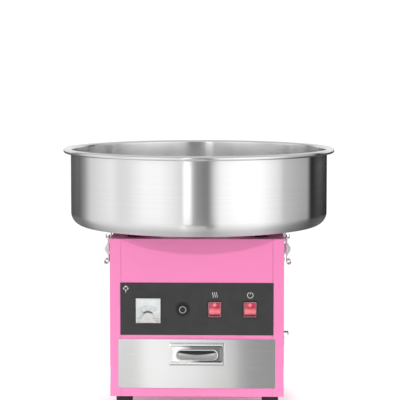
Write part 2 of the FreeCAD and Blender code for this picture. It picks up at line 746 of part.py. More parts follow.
def make_drawer():
    make_rails()
    floor_top = BOX_LOW + BOX_SHEET
    floor = box(-BOX_HALF, BOX_HALF, DRAWER_BACK_FACE, BOX_BACK, BOX_LOW, floor_top)
    outer = box(-BOX_HALF, BOX_HALF, DRAWER_BACK_FACE, BOX_BACK, floor_top, BOX_HIGH)
    inner = box(-BOX_HALF + BOX_SHEET, BOX_HALF - BOX_SHEET, DRAWER_BACK_FACE + BOX_SHEET,
                BOX_BACK - BOX_SHEET, floor_top - SMALL, BOX_HIGH + SMALL)
    cup_outline = stadium_y(SLOT_HALF + CUP_WALL, SLOT_LOW - CUP_WALL, SLOT_HIGH + CUP_WALL,
                            DRAWER_FACE - PAST, CUP_BACK)
    save("drawer_box", [floor, outer.cut(inner).cut(cup_outline)])

    face = box(-DRAWER_HALF, DRAWER_HALF, DRAWER_FACE, DRAWER_BACK_FACE, DRAWER_LOW, DRAWER_HIGH)
    save("drawer_front", face.cut(cup_outline))

    plate_face = DRAWER_FACE - HANDLE_PLATE
    plate = box(-HANDLE_HALF, HANDLE_HALF, plate_face, DRAWER_FACE, HANDLE_LOW, HANDLE_HIGH)
    shell = stadium_y(SLOT_HALF + CUP_WALL, SLOT_LOW - CUP_WALL, SLOT_HIGH + CUP_WALL,
                      plate_face, CUP_BACK)
    pocket = stadium_y(SLOT_HALF, SLOT_LOW, SLOT_HIGH, DRAWER_FACE - PAST, CUP_BACK - CUP_WALL)
    save("handle_cup", joined([plate, shell]).cut(pocket))


# ---------------------------------------------------------------- latches and hook
def across(radius, x, z):
    """A round bar or drill along Y through the whole latch."""
    reach = 20.0
    return cyl_y(radius, -reach, reach, x, z)


def latch_base():
    """Base plate with two ears that carry the lever's pin; centred on Y = 0."""
    ear_outer = EAR_INNER + SHEET
    plate = box(HALF, HALF + SHEET, -ear_outer, ear_outer, BASE_LOW, BASE_HIGH)
    ears = []
    for y0 in (-ear_outer, EAR_INNER):
        ears.append(box(HALF, PIVOT_X + EAR_REACH, y0, y0 + SHEET, PIVOT_Z - EAR_HALF, PIVOT_Z + EAR_HALF))
    return joined([plate] + ears).cut(across(PIN_R, PIVOT_X, PIVOT_Z))


def latch_lever():
    """Lever hanging closed: two cheeks, an outer web and a rolled finger end."""
    knee = PIVOT_X + KNEE_OUT
    knee_outer = knee + SHEET
    heel = CURL_X - CURL_R
    heel_outer = heel + SHEET
    back = PIVOT_X - 3.5
    crown = PIVOT_X + 2.0
    shoulder_z = PIVOT_Z - 2.0
    outline = [(back, PIVOT_Z + 3.8), (crown, PIVOT_Z + 4.4), (knee_outer, shoulder_z),
               (knee_outer, KNEE_Z), (heel_outer, HEEL_Z), (back, PIVOT_Z - 11.0)]
    cheeks = []
    for y0 in (-CHEEK_OUTER, CHEEK_INNER):
        cheek = slab_xz(outline, y0, y0 + SHEET)
        cheek = cheek.cut(across(PIN_R + RUNNING, PIVOT_X, PIVOT_Z))
        cheek = cheek.cut(across(BAIL_WIRE_R + RUNNING, PIVOT_X, PIVOT_Z - CRANK))
        cheeks.append(cheek)
    web = slab_xz([(knee, shoulder_z), (knee_outer, shoulder_z), (knee_outer, KNEE_Z),
                   (heel_outer, HEEL_Z), (heel_outer, CURL_Z), (heel, CURL_Z), (heel, HEEL_Z),
                   (knee, KNEE_Z)], -CHEEK_OUTER, CHEEK_OUTER)
    curl = ring_y(CURL_R, CURL_R - SHEET, -CHEEK_OUTER, CHEEK_OUTER, CURL_X, CURL_Z)
    return joined(cheeks + [web, curl])


def latch_bail():
    """Wire bail: two legs, a top bar under the keeper's lip and two pegs in the lever."""
    z_low = PIVOT_Z - CRANK
    z_top = z_low + BAIL_LENGTH
    peg_end = EAR_INNER + SHEET + 0.5
    pieces = [cyl_y(BAIL_WIRE_R, -BAIL_HALF, BAIL_HALF, PIVOT_X, z_top)]
    for side in (-1, 1):
        y = side * BAIL_HALF
        pieces.append(cyl_z(BAIL_WIRE_R, z_low, z_top, PIVOT_X, y))
        pieces.append(Part.makeSphere(BAIL_WIRE_R, vec(PIVOT_X, y, z_top)))
        pieces.append(Part.makeSphere(BAIL_WIRE_R, vec(PIVOT_X, y, z_low)))
        y0 = min(y, side * peg_end)
        y1 = max(y, side * peg_end)
        pieces.append(cyl_y(BAIL_WIRE_R, y0, y1, PIVOT_X, z_low))
    return joined(pieces)


def keeper():
    """J-shaped keeper under the bowl, its trough open upwards for the bail's bar."""
    t = KEEPER_SHEET
    leg = HALF + 1.2
    outline = [(KEEPER_END, BOWL_BASE), (KEEPER_END, BOWL_BASE - t), (leg, BOWL_BASE - t),
               (leg, KEEPER_LOW), (LIP_X + t, KEEPER_LOW), (LIP_X + t, LIP_TOP), (LIP_X, LIP_TOP),
               (LIP_X, KEEPER_LOW + t), (leg + t, KEEPER_LOW + t), (leg + t, BOWL_BASE)]
    return slab_xz(outline, -KEEPER_HALF, KEEPER_HALF)


def placed(shape, side, y):
    copy = shape.copy()
    copy.translate(vec(0, y, 0))
    return copy if side > 0 else mirrored(copy)


def make_latches():
    pin_reach = CHEEK_OUTER + 0.4
    pin = cyl_y(PIN_R, -pin_reach, pin_reach, PIVOT_X, PIVOT_Z)
    corners = {"right_front": (1, -LATCH_Y), "right_rear": (1, LATCH_Y),
               "left_front": (-1, -LATCH_Y), "left_rear": (-1, LATCH_Y)}
    lever = latch_lever()
    bail = latch_bail()
    base = latch_base()
    hook = keeper()
    bases = []
    pins = []
    keepers = []
    for name, (side, y) in corners.items():
        save("latch_lever_" + name, placed(lever, side, y))
        save("latch_bail_" + name, placed(bail, side, y))
        bases.append(placed(base, side, y).cut(RIVET_HOLES))
        pins.append(placed(pin, side, y))
        keepers.append(placed(hook, side, y).cut(RIVET_HOLES))
    save("latch_bases", bases + pins)
    save("bowl_keepers", keepers)
    save("blind_rivets", RIVETS)


def make_side_hook():
    """A small hook for the sugar scoop, folded from one strip, on the right side."""
    t = SHEET
    tip_x = HALF + HOOK_REACH
    outline = [(HALF, HOOK_LOW), (HALF + t, HOOK_LOW), (HALF + t, HOOK_TOP - t), (tip_x - t, HOOK_TOP - t),
               (tip_x - t, HOOK_TIP), (tip_x, HOOK_TIP), (tip_x, HOOK_TOP), (HALF, HOOK_TOP)]
    hook = slab_xz(outline, HOOK_Y - HOOK_HALF, HOOK_Y + HOOK_HALF)
    save("side_hook", hook.cut(RIVET_HOLES))


# ---------------------------------------------------------------- bowl
def make_bowl():
    inner_r = BOWL_R - BOWL_SHEET
    floor_top = BOWL_BASE + BOWL_SHEET
    centre_r = BOWL_R - BOWL_CORNER
    centre_z = BOWL_BASE + BOWL_CORNER
    bead_r = RIM_R - BEAD_R
    flare = bead_r - inner_r
    flare_z = BOWL_TOP - flare
    diagonal = math.cos(math.pi / 4)

    def point(r, z):
        return vec(r, 0, z)

    def corner_arc(radius):
        return Part.Arc(point(centre_r, centre_z - radius),
                        point(centre_r + radius * diagonal, centre_z - radius * diagonal),
                        point(centre_r + radius, centre_z)).toShape()

    def flare_arc(radius):
        return Part.Arc(point(bead_r - radius, flare_z),
                        point(bead_r - radius * diagonal, flare_z + radius * diagonal),
                        point(bead_r, flare_z + radius)).toShape()

    def line(a, b):
        return Part.LineSegment(a, b).toShape()

    outer = [line(point(BOWL_HOLE_R, BOWL_LIP_TOP), point(BOWL_HOLE_R, BOWL_BASE)),
             line(point(BOWL_HOLE_R, BOWL_BASE), point(centre_r, BOWL_BASE)),
             corner_arc(BOWL_CORNER),
             line(point(BOWL_R, centre_z), point(BOWL_R, flare_z)),
             flare_arc(flare - BOWL_SHEET)]
    end = line(point(bead_r, flare_z + flare - BOWL_SHEET), point(bead_r, flare_z + flare))
    lip_r = BOWL_HOLE_R + BOWL_SHEET
    inner = [flare_arc(flare),
             line(point(inner_r, flare_z), point(inner_r, centre_z)),
             corner_arc(BOWL_CORNER - BOWL_SHEET),
             line(point(centre_r, floor_top), point(lip_r, floor_top)),
             line(point(lip_r, floor_top), point(lip_r, BOWL_LIP_TOP)),
             line(point(lip_r, BOWL_LIP_TOP), point(BOWL_HOLE_R, BOWL_LIP_TOP))]
    section = Part.Face(Part.Wire(Part.__sortEdges__(outer + [end] + inner)))
    shell = section.revolve(vec(0, 0, 0), vec(0, 0, 1), 360)
    bead = Part.makeTorus(bead_r, BEAD_R, vec(0, 0, BOWL_TOP - BEAD_R))
    save("bowl", shell.fuse(bead).removeSplitter().cut(RIVET_HOLES))


# ---------------------------------------------------------------- motor
def make_motor():
    floor_top = DECK_TOP + END_PLATE
    deck_low = DECK_TOP - SHEET
    inner_r = MOTOR_R - MOTOR_WALL
    seat_low = MOTOR_TOP - BEARING_H
    nut_across = 8.0
    head_high = 3.5
    nut_high = 4.0
    flange = box(-MOTOR_FLANGE, MOTOR_FLANGE, -MOTOR_FLANGE, MOTOR_FLANGE, DECK_TOP, floor_top)
    shell = ring_z(MOTOR_R, inner_r, DECK_TOP, MOTOR_TOP)
    seat = ring_z(SEAT_R, BEARING_R, floor_top, floor_top + BEARING_H)
    housing = joined([flange, shell, seat])
    bolts = []
    for x, y in four_corners(MOTOR_BOLT):
        housing = housing.cut(cyl_z(MOTOR_BOLT_R, DECK_TOP - PAST, floor_top + PAST, x, y))
        shank = cyl_z(MOTOR_BOLT_R, deck_low, floor_top, x, y)
        head = hexagon_z(nut_across, floor_top, floor_top + head_high, x, y)
        nut = hexagon_z(nut_across, deck_low - nut_high, deck_low, x, y)
        bolts.append(joined([shank, head, nut]))
    vent_half = 4.0
    vents = 12
    vent = box(inner_r - SMALL, MOTOR_R + SMALL, -vent_half, vent_half, VENT_LOW, VENT_HIGH)
    save("motor_housing", housing.cut(Part.makeCompound(around(vent, vents))))
    save("motor_bolts", bolts)

    bell = joined([ring_z(MOTOR_R, SHAFT_R + 2.0, MOTOR_TOP, BELL_TOP),
                   ring_z(SEAT_R, BEARING_R, seat_low, MOTOR_TOP)])
    save("motor_end_bell", bell)

    bore_r = SHAFT_R + RUNNING
    save("motor_bearings", [ring_z(BEARING_R, bore_r, floor_top, floor_top + BEARING_H),
                            ring_z(BEARING_R, bore_r, seat_low, MOTOR_TOP)])

    slot_half = 3.0
    slot_deep = 9.0
    slots = 12
    stator = ring_z(inner_r, STATOR_INNER, CORE_LOW, CORE_HIGH)
    slot = box(STATOR_INNER - SMALL, STATOR_INNER + slot_deep, -slot_half, slot_half,
               CORE_LOW - PAST, CORE_HIGH + PAST)
    save("motor_stator", stator.cut(Part.makeCompound(around(slot, slots))))


def make_fan():
    """A disc with ten leaning blades, trimmed to a circle."""
    lean = 25.0               # degrees
    blade_half = 0.8
    blades = 10
    disc_top = FAN_LOW + FAN_DISC
    disc = ring_z(FAN_R, SHAFT_R, FAN_LOW, disc_top)
    blade = box(FAN_HUB_R, FAN_R, -blade_half, blade_half, disc_top, FAN_TOP)
    blade.rotate(vec(FAN_HUB_R, 0, 0), vec(0, 0, 1), lean)
    limit = cyl_z(FAN_R, FAN_LOW - PAST, FAN_TOP + PAST)
    save("cooling_fan", joined([disc] + around(blade, blades)).common(limit))


def make_spinner():
    shaft_low = DECK_TOP + END_PLATE + 0.5
    save("motor_shaft", cyl_z(SHAFT_R, shaft_low, SHAFT_TOP))
    save("rotor_core", ring_z(ROTOR_R, SHAFT_R, CORE_LOW, CORE_HIGH))
    make_fan()
    ring_inner = RING_R - RING_WALL
    save("slip_ring_insulator", ring_z(ring_inner, SHAFT_R, SLIP_LOW, SLIP_HIGH))
    save("slip_rings", [ring_z(RING_R, ring_inner, low, low + RING_H) for low in RING_HEIGHTS])
    make_head()


def make_head():
    """The head: base, heating element, slotted band, cover with its sugar funnel, screws and nut."""
    floor_top = HEAD_BASE + HEAD_WALL
    hub_low = HEAD_BASE - HUB_DROP
    hub_top = HEAD_BASE + HUB_RISE
    rim_top = HEAD_BASE + HEAD_RIM
    base = turned([(SHAFT_R, hub_low), (HUB_R, hub_low), (HUB_R, HEAD_BASE), (HEAD_R, HEAD_BASE),
                   (HEAD_R, rim_top), (HEAD_R - HEAD_WALL, rim_top), (HEAD_R - HEAD_WALL, floor_top),
                   (HUB_R, floor_top), (HUB_R, hub_top), (SHAFT_R, hub_top)])
    save("head_base", base)

    element_z = HEAD_BASE + ELEMENT_UP
    element = Part.makeTorus(ELEMENT_R, ELEMENT_ROD_R, vec(0, 0, element_z))
    post_at = ELEMENT_R * math.cos(math.pi / 4)
    posts = [cyl_z(POST_R, floor_top, element_z, x, y) for x, y in four_corners(post_at)]
    save("heating_element", joined([element] + posts))

    slot_half = 1.5
    slot_low = HEAD_BASE + 10.0
    slot_high = COVER_LOW - 6.0
    band = ring_z(BAND_R, BAND_R - BAND_WALL, floor_top, COVER_LOW)
    slot = box(BAND_R - PAST, BAND_R + PAST, -slot_half, slot_half, slot_low, slot_high)
    save("head_slotted_band", band.cut(Part.makeCompound(around(slot, BAND_SLOTS))))

    c = COVER_SHEET
    cover_top = COVER_LOW + c
    skirt_low = COVER_LOW - COVER_SKIRT
    mouth_r = FUNNEL_R + FUNNEL_FLARE
    cover = turned([(FUNNEL_R, COVER_LOW), (COVER_R, COVER_LOW), (COVER_R, skirt_low),
                    (COVER_R + c, skirt_low), (COVER_R + c, cover_top), (FUNNEL_R + c, cover_top),
                    (mouth_r + c, FUNNEL_TOP), (mouth_r, FUNNEL_TOP)])
    screw_r = 2.0
    sleeve_r = 3.0
    head_r = 4.0
    head_high = 2.6
    screws = 4
    sleeve = cyl_z(sleeve_r, floor_top, COVER_LOW, HEAD_SCREW_AT)
    shank = cyl_z(screw_r, COVER_LOW, cover_top, HEAD_SCREW_AT)
    head = cyl_z(head_r, cover_top, cover_top + head_high, HEAD_SCREW_AT)
    hole = cyl_z(screw_r, COVER_LOW - SMALL, cover_top + SMALL, HEAD_SCREW_AT)
    save("head_cover", cover.cut(Part.makeCompound(around(hole, screws))))
    save("head_screws", around(joined([sleeve, shank, head]), screws))

    nut_across = 18.0
    nut = hexagon_z(nut_across, hub_top, hub_top + HEAD_NUT_H)
    save("head_nut", nut.cut(cyl_z(SHAFT_R, HEAD_BASE, hub_top + HEAD_NUT_H + SMALL)))


# ---------------------------------------------------------------- electrics
def make_brushes():
    """Brush holder on the motor's end bell, with one carbon brush against each slip ring."""
    half_y = 9.0
    x_low = 17.0
    x_high = 45.0
    brush_half = 3.0
    brush_end = 36.0
    inset = 1.0
    gap = 0.3
    holder = box(x_low, x_high, -half_y, half_y, BELL_TOP, SLIP_HIGH)
    brushes = []
    for low in RING_HEIGHTS:
        z0 = low + inset
        z1 = low + RING_H - inset
        brushes.append(box(RING_R + gap, brush_end, -brush_half, brush_half, z0, z1))
        holder = holder.cut(box(x_low - SMALL, brush_end, -brush_half, brush_half, z0, z1))
    save("brush_holder", holder)
    save("carbon_brushes", brushes)


def make_terminal_block():
    """A row of five screw terminals on the deck, behind the motor."""
    ways = 5
    pitch = 12.0
    x_low = -100.0
    first = x_low + pitch / 2
    y_low = 110.0
    y_high = 128.0
    middle_y = (y_low + y_high) / 2
    high = 16.0
    screw_r = 2.5
    wire_r = 2.2
    wire_z = DECK_TOP + 6.0
    screw_low = DECK_TOP + 8.0
    block = box(x_low, x_low + ways * pitch, y_low, y_high, DECK_TOP, DECK_TOP + high)
    for way in range(ways):
        x = first + way * pitch
        block = block.cut(cyl_z(screw_r, screw_low, DECK_TOP + high + PAST, x, middle_y))
        block = block.cut(cyl_y(wire_r, y_low - PAST, y_low + 4.0, x, wire_z))
    save("terminal_block", block)


def make_rectifier():
    """A square bridge rectifier with a fixing hole and four upright tabs."""
    x = 84.0
    y = 114.0
    half = 14.0
    top = DECK_TOP + 9.0
    tab_top = top + 9.0
    tab_at = 9.0
    tab_half_x = 3.1
    tab_half_y = 0.4
    hole_r = 2.5
    body = box(x - half, x + half, y - half, y + half, DECK_TOP, top)
    body = body.cut(cyl_z(hole_r, DECK_TOP - SMALL, top + SMALL, x, y))
    tabs = []
    for dx, dy in four_corners(tab_at):
        tabs.append(box(x + dx - tab_half_x, x + dx + tab_half_x, y + dy - tab_half_y, y + dy + tab_half_y,
                        top, tab_top))
    save("bridge_rectifier", joined([body] + tabs))


def make_gland():
    """Cable gland in the back panel, with its nut inside; its bore is open for a cable."""
    dome_low_r = 9.5
    dome_top_r = 6.5
    thread_long = 12.0
    nut_high = 5.0
    far = 20.0
    flange_end = HALF + GLAND_FLANGE
    flange = hexagon_y(GLAND_ACROSS, HALF, flange_end, GLAND_X, GLAND_Z)
    dome = Part.makeCone(dome_low_r, dome_top_r, GLAND_DOME, vec(GLAND_X, flange_end, GLAND_Z), vec(0, 1, 0))
    thread = cyl_y(GLAND_THREAD_R, HALF - thread_long, HALF, GLAND_X, GLAND_Z)
    bore = cyl_y(GLAND_BORE_R, HALF - far, flange_end + far, GLAND_X, GLAND_Z)
    gland = joined([flange, dome, thread]).cut(bore)
    nut = hexagon_y(GLAND_ACROSS, INNER - nut_high, INNER, GLAND_X, GLAND_Z)
    nut = nut.cut(cyl_y(GLAND_THREAD_R, INNER - far, INNER + far, GLAND_X, GLAND_Z))
    save("cable_gland", [gland, nut])


make_cabinet()
make_deck_and_feet()
make_controls()
make_drawer()
make_latches()
make_side_hook()
make_bowl()
make_motor()
make_spinner()
make_brushes()
make_terminal_block()
make_rectifier()
make_gland()
save("panel_screws", SCREWS)
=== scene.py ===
import json
import math
import bmesh
import bpy
from mathutils import Matrix, Vector


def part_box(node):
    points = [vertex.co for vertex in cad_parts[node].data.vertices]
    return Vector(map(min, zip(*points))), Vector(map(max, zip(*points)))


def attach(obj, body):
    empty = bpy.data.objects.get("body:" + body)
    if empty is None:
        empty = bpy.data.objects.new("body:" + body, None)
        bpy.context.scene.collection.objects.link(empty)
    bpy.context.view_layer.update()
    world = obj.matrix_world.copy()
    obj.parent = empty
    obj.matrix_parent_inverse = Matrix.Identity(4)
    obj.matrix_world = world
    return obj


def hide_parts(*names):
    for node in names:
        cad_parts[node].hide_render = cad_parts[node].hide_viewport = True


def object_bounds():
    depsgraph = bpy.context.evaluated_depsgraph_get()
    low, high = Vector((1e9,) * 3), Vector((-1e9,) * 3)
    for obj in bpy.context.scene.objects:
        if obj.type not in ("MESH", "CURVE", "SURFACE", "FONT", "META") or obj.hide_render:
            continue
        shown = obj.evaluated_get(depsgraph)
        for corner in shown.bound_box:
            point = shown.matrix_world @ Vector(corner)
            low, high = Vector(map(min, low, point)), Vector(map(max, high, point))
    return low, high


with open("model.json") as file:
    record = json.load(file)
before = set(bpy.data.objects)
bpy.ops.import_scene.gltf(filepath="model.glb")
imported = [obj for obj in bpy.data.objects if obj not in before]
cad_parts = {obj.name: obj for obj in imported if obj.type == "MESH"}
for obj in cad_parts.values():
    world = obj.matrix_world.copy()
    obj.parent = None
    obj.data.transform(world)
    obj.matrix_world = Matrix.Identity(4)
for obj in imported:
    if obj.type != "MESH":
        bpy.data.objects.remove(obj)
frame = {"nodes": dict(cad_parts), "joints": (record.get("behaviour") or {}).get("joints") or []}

CAD_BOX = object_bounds()
NODES = frame["nodes"]
JOINTS = {joint["name"]: joint for joint in frame["joints"]}
MM = 0.001
FULL_TURN = 2 * math.pi


# ---------------------------------------------------------------- sizes read from the frame
BOWL_LOW, BOWL_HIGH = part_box("bowl")
METER_LOW, METER_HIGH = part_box("meter_case")
COVER_LOW, COVER_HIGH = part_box("meter_window")
DRAWER_LOW, DRAWER_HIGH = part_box("drawer_front")
HANDLE_LOW, HANDLE_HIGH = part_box("handle_cup")
PANEL_LOW, PANEL_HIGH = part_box("control_panel")
PANEL_FACE = PANEL_LOW.y
DIAL_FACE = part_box("meter_dial")[0].y
METER_X = (METER_LOW.x + METER_HIGH.x) / 2
METER_Z = (METER_LOW.z + METER_HIGH.z) / 2
METER_HALF = (COVER_HIGH.x - COVER_LOW.x) / 2
METER_PIVOT = JOINTS["meter_needle_swing"]["pos_m"]


# ---------------------------------------------------------------- mesh helpers
def new_object(name, mesh):
    obj = bpy.data.objects.new(name, mesh)
    bpy.context.scene.collection.objects.link(obj)
    return obj


def smooth_by_angle(obj, degrees=35.0):
    for poly in obj.data.polygons:
        poly.use_smooth = True
    obj.data.set_sharp_from_angle(angle=math.radians(degrees))
    return obj


def mesh_object(name, verts, faces, sharp_angle=35.0):
    """An object with merged points, outward faces and smooth shading."""
    mesh = bpy.data.meshes.new(name)
    mesh.from_pydata([tuple(v) for v in verts], [], faces)
    bm = bmesh.new()
    bm.from_mesh(mesh)
    bmesh.ops.remove_doubles(bm, verts=bm.verts, dist=1e-7)
    bmesh.ops.recalc_face_normals(bm, faces=bm.faces)
    bm.to_mesh(mesh)
    bm.free()
    return smooth_by_angle(new_object(name, mesh), sharp_angle)


def apply_modifiers(obj):
    graph = bpy.context.evaluated_depsgraph_get()
    mesh = bpy.data.meshes.new_from_object(obj.evaluated_get(graph))
    obj.modifiers.clear()
    obj.data = mesh
    return obj


def bevelled(obj, width, segments=3, angle=30.0):
    """Rounds the edges that are sharper than an angle."""
    mod = obj.modifiers.new("edges", "BEVEL")
    mod.width = width
    mod.segments = segments
    mod.limit_method = "ANGLE"
    mod.angle_limit = math.radians(angle)
    apply_modifiers(obj)
    return smooth_by_angle(obj)


def arc(cx, cy, radius, start, end, steps):
    """Points of an arc, in degrees, both ends included."""
    points = []
    for step in range(steps + 1):
        turn = math.radians(start + (end - start) * step / steps)
        points.append((cx + radius * math.cos(turn), cy + radius * math.sin(turn)))
    return points


def lathe(name, profile, segments=256, sharp_angle=35.0):
    """A solid of revolution about the Z axis from a closed (radius, height) outline."""
    verts = []
    faces = []
    count = len(profile)
    for segment in range(segments):
        turn = FULL_TURN * segment / segments
        for radius, z in profile:
            verts.append((radius * math.cos(turn), radius * math.sin(turn), z))
    for segment in range(segments):
        here = segment * count
        there = (segment + 1) % segments * count
        for k in range(count):
            n = (k + 1) % count
            faces.append((here + k, there + k, there + n, here + n))
    return mesh_object(name, verts, faces, sharp_angle)


def rounded_rect(cx, cz, half_x, half_z, radius, y, steps=8):
    """A loop of points round a rectangle with rounded corners, in a plane of constant Y."""
    loop = []
    corners = ((1, 1, 0), (-1, 1, 90), (-1, -1, 180), (1, -1, 270))
    for sx, sz, start in corners:
        centre_x = cx + sx * (half_x - radius)
        centre_z = cz + sz * (half_z - radius)
        for x, z in arc(centre_x, centre_z, radius, start, start + 90, steps):
            loop.append((x, y, z))
    return loop


def circle(x, z, radius, y, count):
    """A loop of points round a circle, in a plane of constant Y."""
    return [(a, y, b) for a, b in arc(x, z, radius, 0, 360 - 360 / count, count - 1)]


def rectangle(x, z, half_x, half_z):
    """The four corners of a rectangle, as (x, z) points."""
    corners = ((-1, -1), (1, -1), (1, 1), (-1, 1))
    return [(x + side_x * half_x, z + side_z * half_z) for side_x, side_z in corners]


def loft(name, loops, close_first=False, close_last=False, sharp_angle=35.0):
    """A skin through loops that have the same number of points."""
    verts = [point for loop in loops for point in loop]
    faces = []
    count = len(loops[0])
    for row in range(len(loops) - 1):
        for k in range(count):
            n = (k + 1) % count
            a = row * count
            faces.append((a + k, a + n, a + count + n, a + count + k))
    if close_first:
        faces.append(tuple(range(count)))
    if close_last:
        start = (len(loops) - 1) * count
        faces.append(tuple(range(start, start + count)))
    return mesh_object(name, verts, faces, sharp_angle)


def prism(name, outline, low, high, axis="X"):
    """A prism from an outline: (y, z) points along X, or (x, z) points along Y."""
    verts = []
    for level in (low, high):
        for a, b in outline:
            verts.append((level, a, b) if axis == "X" else (a, level, b))
    count = len(outline)
    faces = [tuple(range(count)), tuple(range(count, 2 * count))]
    for k in range(count):
        n = (k + 1) % count
        faces.append((k, n, count + n, count + k))
    return mesh_object(name, verts, faces)


def ribbon(name, path, width, y, thick):
    """A flat printed line of even width along (x, z) points, standing slightly out of the plane y."""
    left = []
    right = []
    for k, (x, z) in enumerate(path):
        before = Vector(path[max(k - 1, 0)])
        after = Vector(path[min(k + 1, len(path) - 1)])
        along = (after - before).normalized()
        side = Vector((-along.y, along.x)) * width / 2
        left.append((x + side.x, z + side.y))
        right.append((x - side.x, z - side.y))
    return prism(name, left + right[::-1], y - thick, y, axis="Y")


def crescent(name, cx, cz, radius, width, y, thick):
    """A printed arc over a centre, widest in its middle and narrow at both ends."""
    steps = 32
    first = 48
    sweep = 84
    outer = []
    inner = []
    for step in range(steps + 1):
        share = step / steps
        turn = math.radians(first + sweep * share)
        swell = math.sin(math.pi * (0.06 + 0.88 * share)) ** 0.6
        half = width / 2 * swell
        outer.append((cx + (radius + half) * math.cos(turn), cz + (radius + half) * math.sin(turn)))
        inner.append((cx + (radius - half) * math.cos(turn), cz + (radius - half) * math.sin(turn)))
    return prism(name, outer + inner[::-1], y - thick, y, axis="Y")


def joined(name, parts):
    """One object from several."""
    bm = bmesh.new()
    for part in parts:
        bm.from_mesh(part.data)
        bpy.data.objects.remove(part)
    mesh = bpy.data.meshes.new(name)
    bm.to_mesh(mesh)
    bm.free()
    return smooth_by_angle(new_object(name, mesh))


# ---------------------------------------------------------------- material helpers
NOISE_LOW = 0.3          # a noise texture's values lie mostly between these two
NOISE_HIGH = 0.7


def shader(name, color, metallic, roughness, **values):
    """A material with its node tree and its principled shader."""
    mat = bpy.data.materials.new(name)
    mat.use_nodes = True
    tree = mat.node_tree
    bsdf = tree.nodes["Principled BSDF"]
    bsdf.inputs["Base Color"].default_value = (*color, 1.0)
    bsdf.inputs["Metallic"].default_value = metallic
    bsdf.inputs["Roughness"].default_value = roughness
    for key, value in values.items():
        bsdf.inputs[key.replace("_", " ")].default_value = value
    return mat, tree, bsdf


def place(tree, scale=(1.0, 1.0, 1.0)):
    """Object coordinates in metres, stretched by a scale."""
    coords = tree.nodes.new("ShaderNodeTexCoord")
    mapping = tree.nodes.new("ShaderNodeMapping")
    mapping.inputs["Scale"].default_value = scale
    tree.links.new(coords.outputs["Object"], mapping.inputs["Vector"])
    return mapping.outputs["Vector"]


def noise(tree, vector, scale, detail=3.0):
    node = tree.nodes.new("ShaderNodeTexNoise")
    node.inputs["Scale"].default_value = scale
    node.inputs["Detail"].default_value = detail
    tree.links.new(vector, node.inputs["Vector"])
    return node.outputs["Fac"]


def calc(tree, operation, *values):
    """The result of a math node on sockets and numbers."""
    node = tree.nodes.new("ShaderNodeMath")
    node.operation = operation
    for socket, value in zip(node.inputs, values):
        if isinstance(value, float):
            socket.default_value = value
        else:
            tree.links.new(value, socket)
    return node.outputs[0]


def split_up(tree, vector):
    """The X, Y and Z of a vector, by name."""
    node = tree.nodes.new("ShaderNodeSeparateXYZ")
    tree.links.new(vector, node.inputs["Vector"])
    return node.outputs


def across_piece(tree):
    """Where a point is in its piece's own box, 0 to 1 along each axis."""
    return tree.nodes.new("ShaderNodeTexCoord").outputs["Generated"]


def remap(tree, value, low, high, start=NOISE_LOW, end=NOISE_HIGH):
    """A value between start and end, stretched to run from low to high."""
    node = tree.nodes.new("ShaderNodeMapRange")
    node.inputs["From Min"].default_value = start
    node.inputs["From Max"].default_value = end
    node.inputs["To Min"].default_value = low
    node.inputs["To Max"].default_value = high
    tree.links.new(value, node.inputs["Value"])
    return node.outputs["Result"]


def tint(tree, bsdf, value, dark, light):
    """Base colour between two colours, by a value with a noise texture's range."""
    ramp = tree.nodes.new("ShaderNodeValToRGB")
    ramp.color_ramp.elements[0].position = NOISE_LOW
    ramp.color_ramp.elements[0].color = (*dark, 1.0)
    ramp.color_ramp.elements[1].position = NOISE_HIGH
    ramp.color_ramp.elements[1].color = (*light, 1.0)
    tree.links.new(value, ramp.inputs["Fac"])
    tree.links.new(ramp.outputs["Color"], bsdf.inputs["Base Color"])


def roughen(tree, bsdf, value, low, high):
    tree.links.new(remap(tree, value, low, high), bsdf.inputs["Roughness"])


def bump(tree, bsdf, value, height, strength=1.0):
    """A fine relief, its height in metres."""
    node = tree.nodes.new("ShaderNodeBump")
    node.inputs["Distance"].default_value = height
    node.inputs["Strength"].default_value = strength
    tree.links.new(value, node.inputs["Height"])
    tree.links.new(node.outputs["Normal"], bsdf.inputs["Normal"])


def scaled(color, factor):
    return tuple(min(1.0, channel * factor) for channel in color)


def set_stop(elements, k, position, color):
    """Sets the k-th stop of a colour ramp, which starts with two."""
    stop = elements[k] if k < 2 else elements.new(position)
    stop.position = position
    stop.color = (*color, 1.0)


def turned_grain(tree, bsdf):
    """Stretches glints along the Z axis, as grain that runs round the axis or across it does."""
    tangent = tree.nodes.new("ShaderNodeTangent")
    tangent.direction_type = "RADIAL"
    tangent.axis = "Z"
    tree.links.new(tangent.outputs["Tangent"], bsdf.inputs["Tangent"])


# ---------------------------------------------------------------- materials
def powder_coat():
    """Pink powder coat: gloss with a fine orange peel and a slight drift of shade."""
    pink = (0.885, 0.235, 0.500)
    mat, tree, bsdf = shader("pink_powder_coat", pink, 0.0, 0.38, Coat_Weight=0.25, Coat_Roughness=0.18)
    tint(tree, bsdf, noise(tree, place(tree), 9.0), scaled(pink, 0.97), scaled(pink, 1.02))
    roughen(tree, bsdf, noise(tree, place(tree), 60.0), 0.34, 0.42)
    bump(tree, bsdf, noise(tree, place(tree), 650.0, 1.0), 0.00003, 0.5)
    return mat


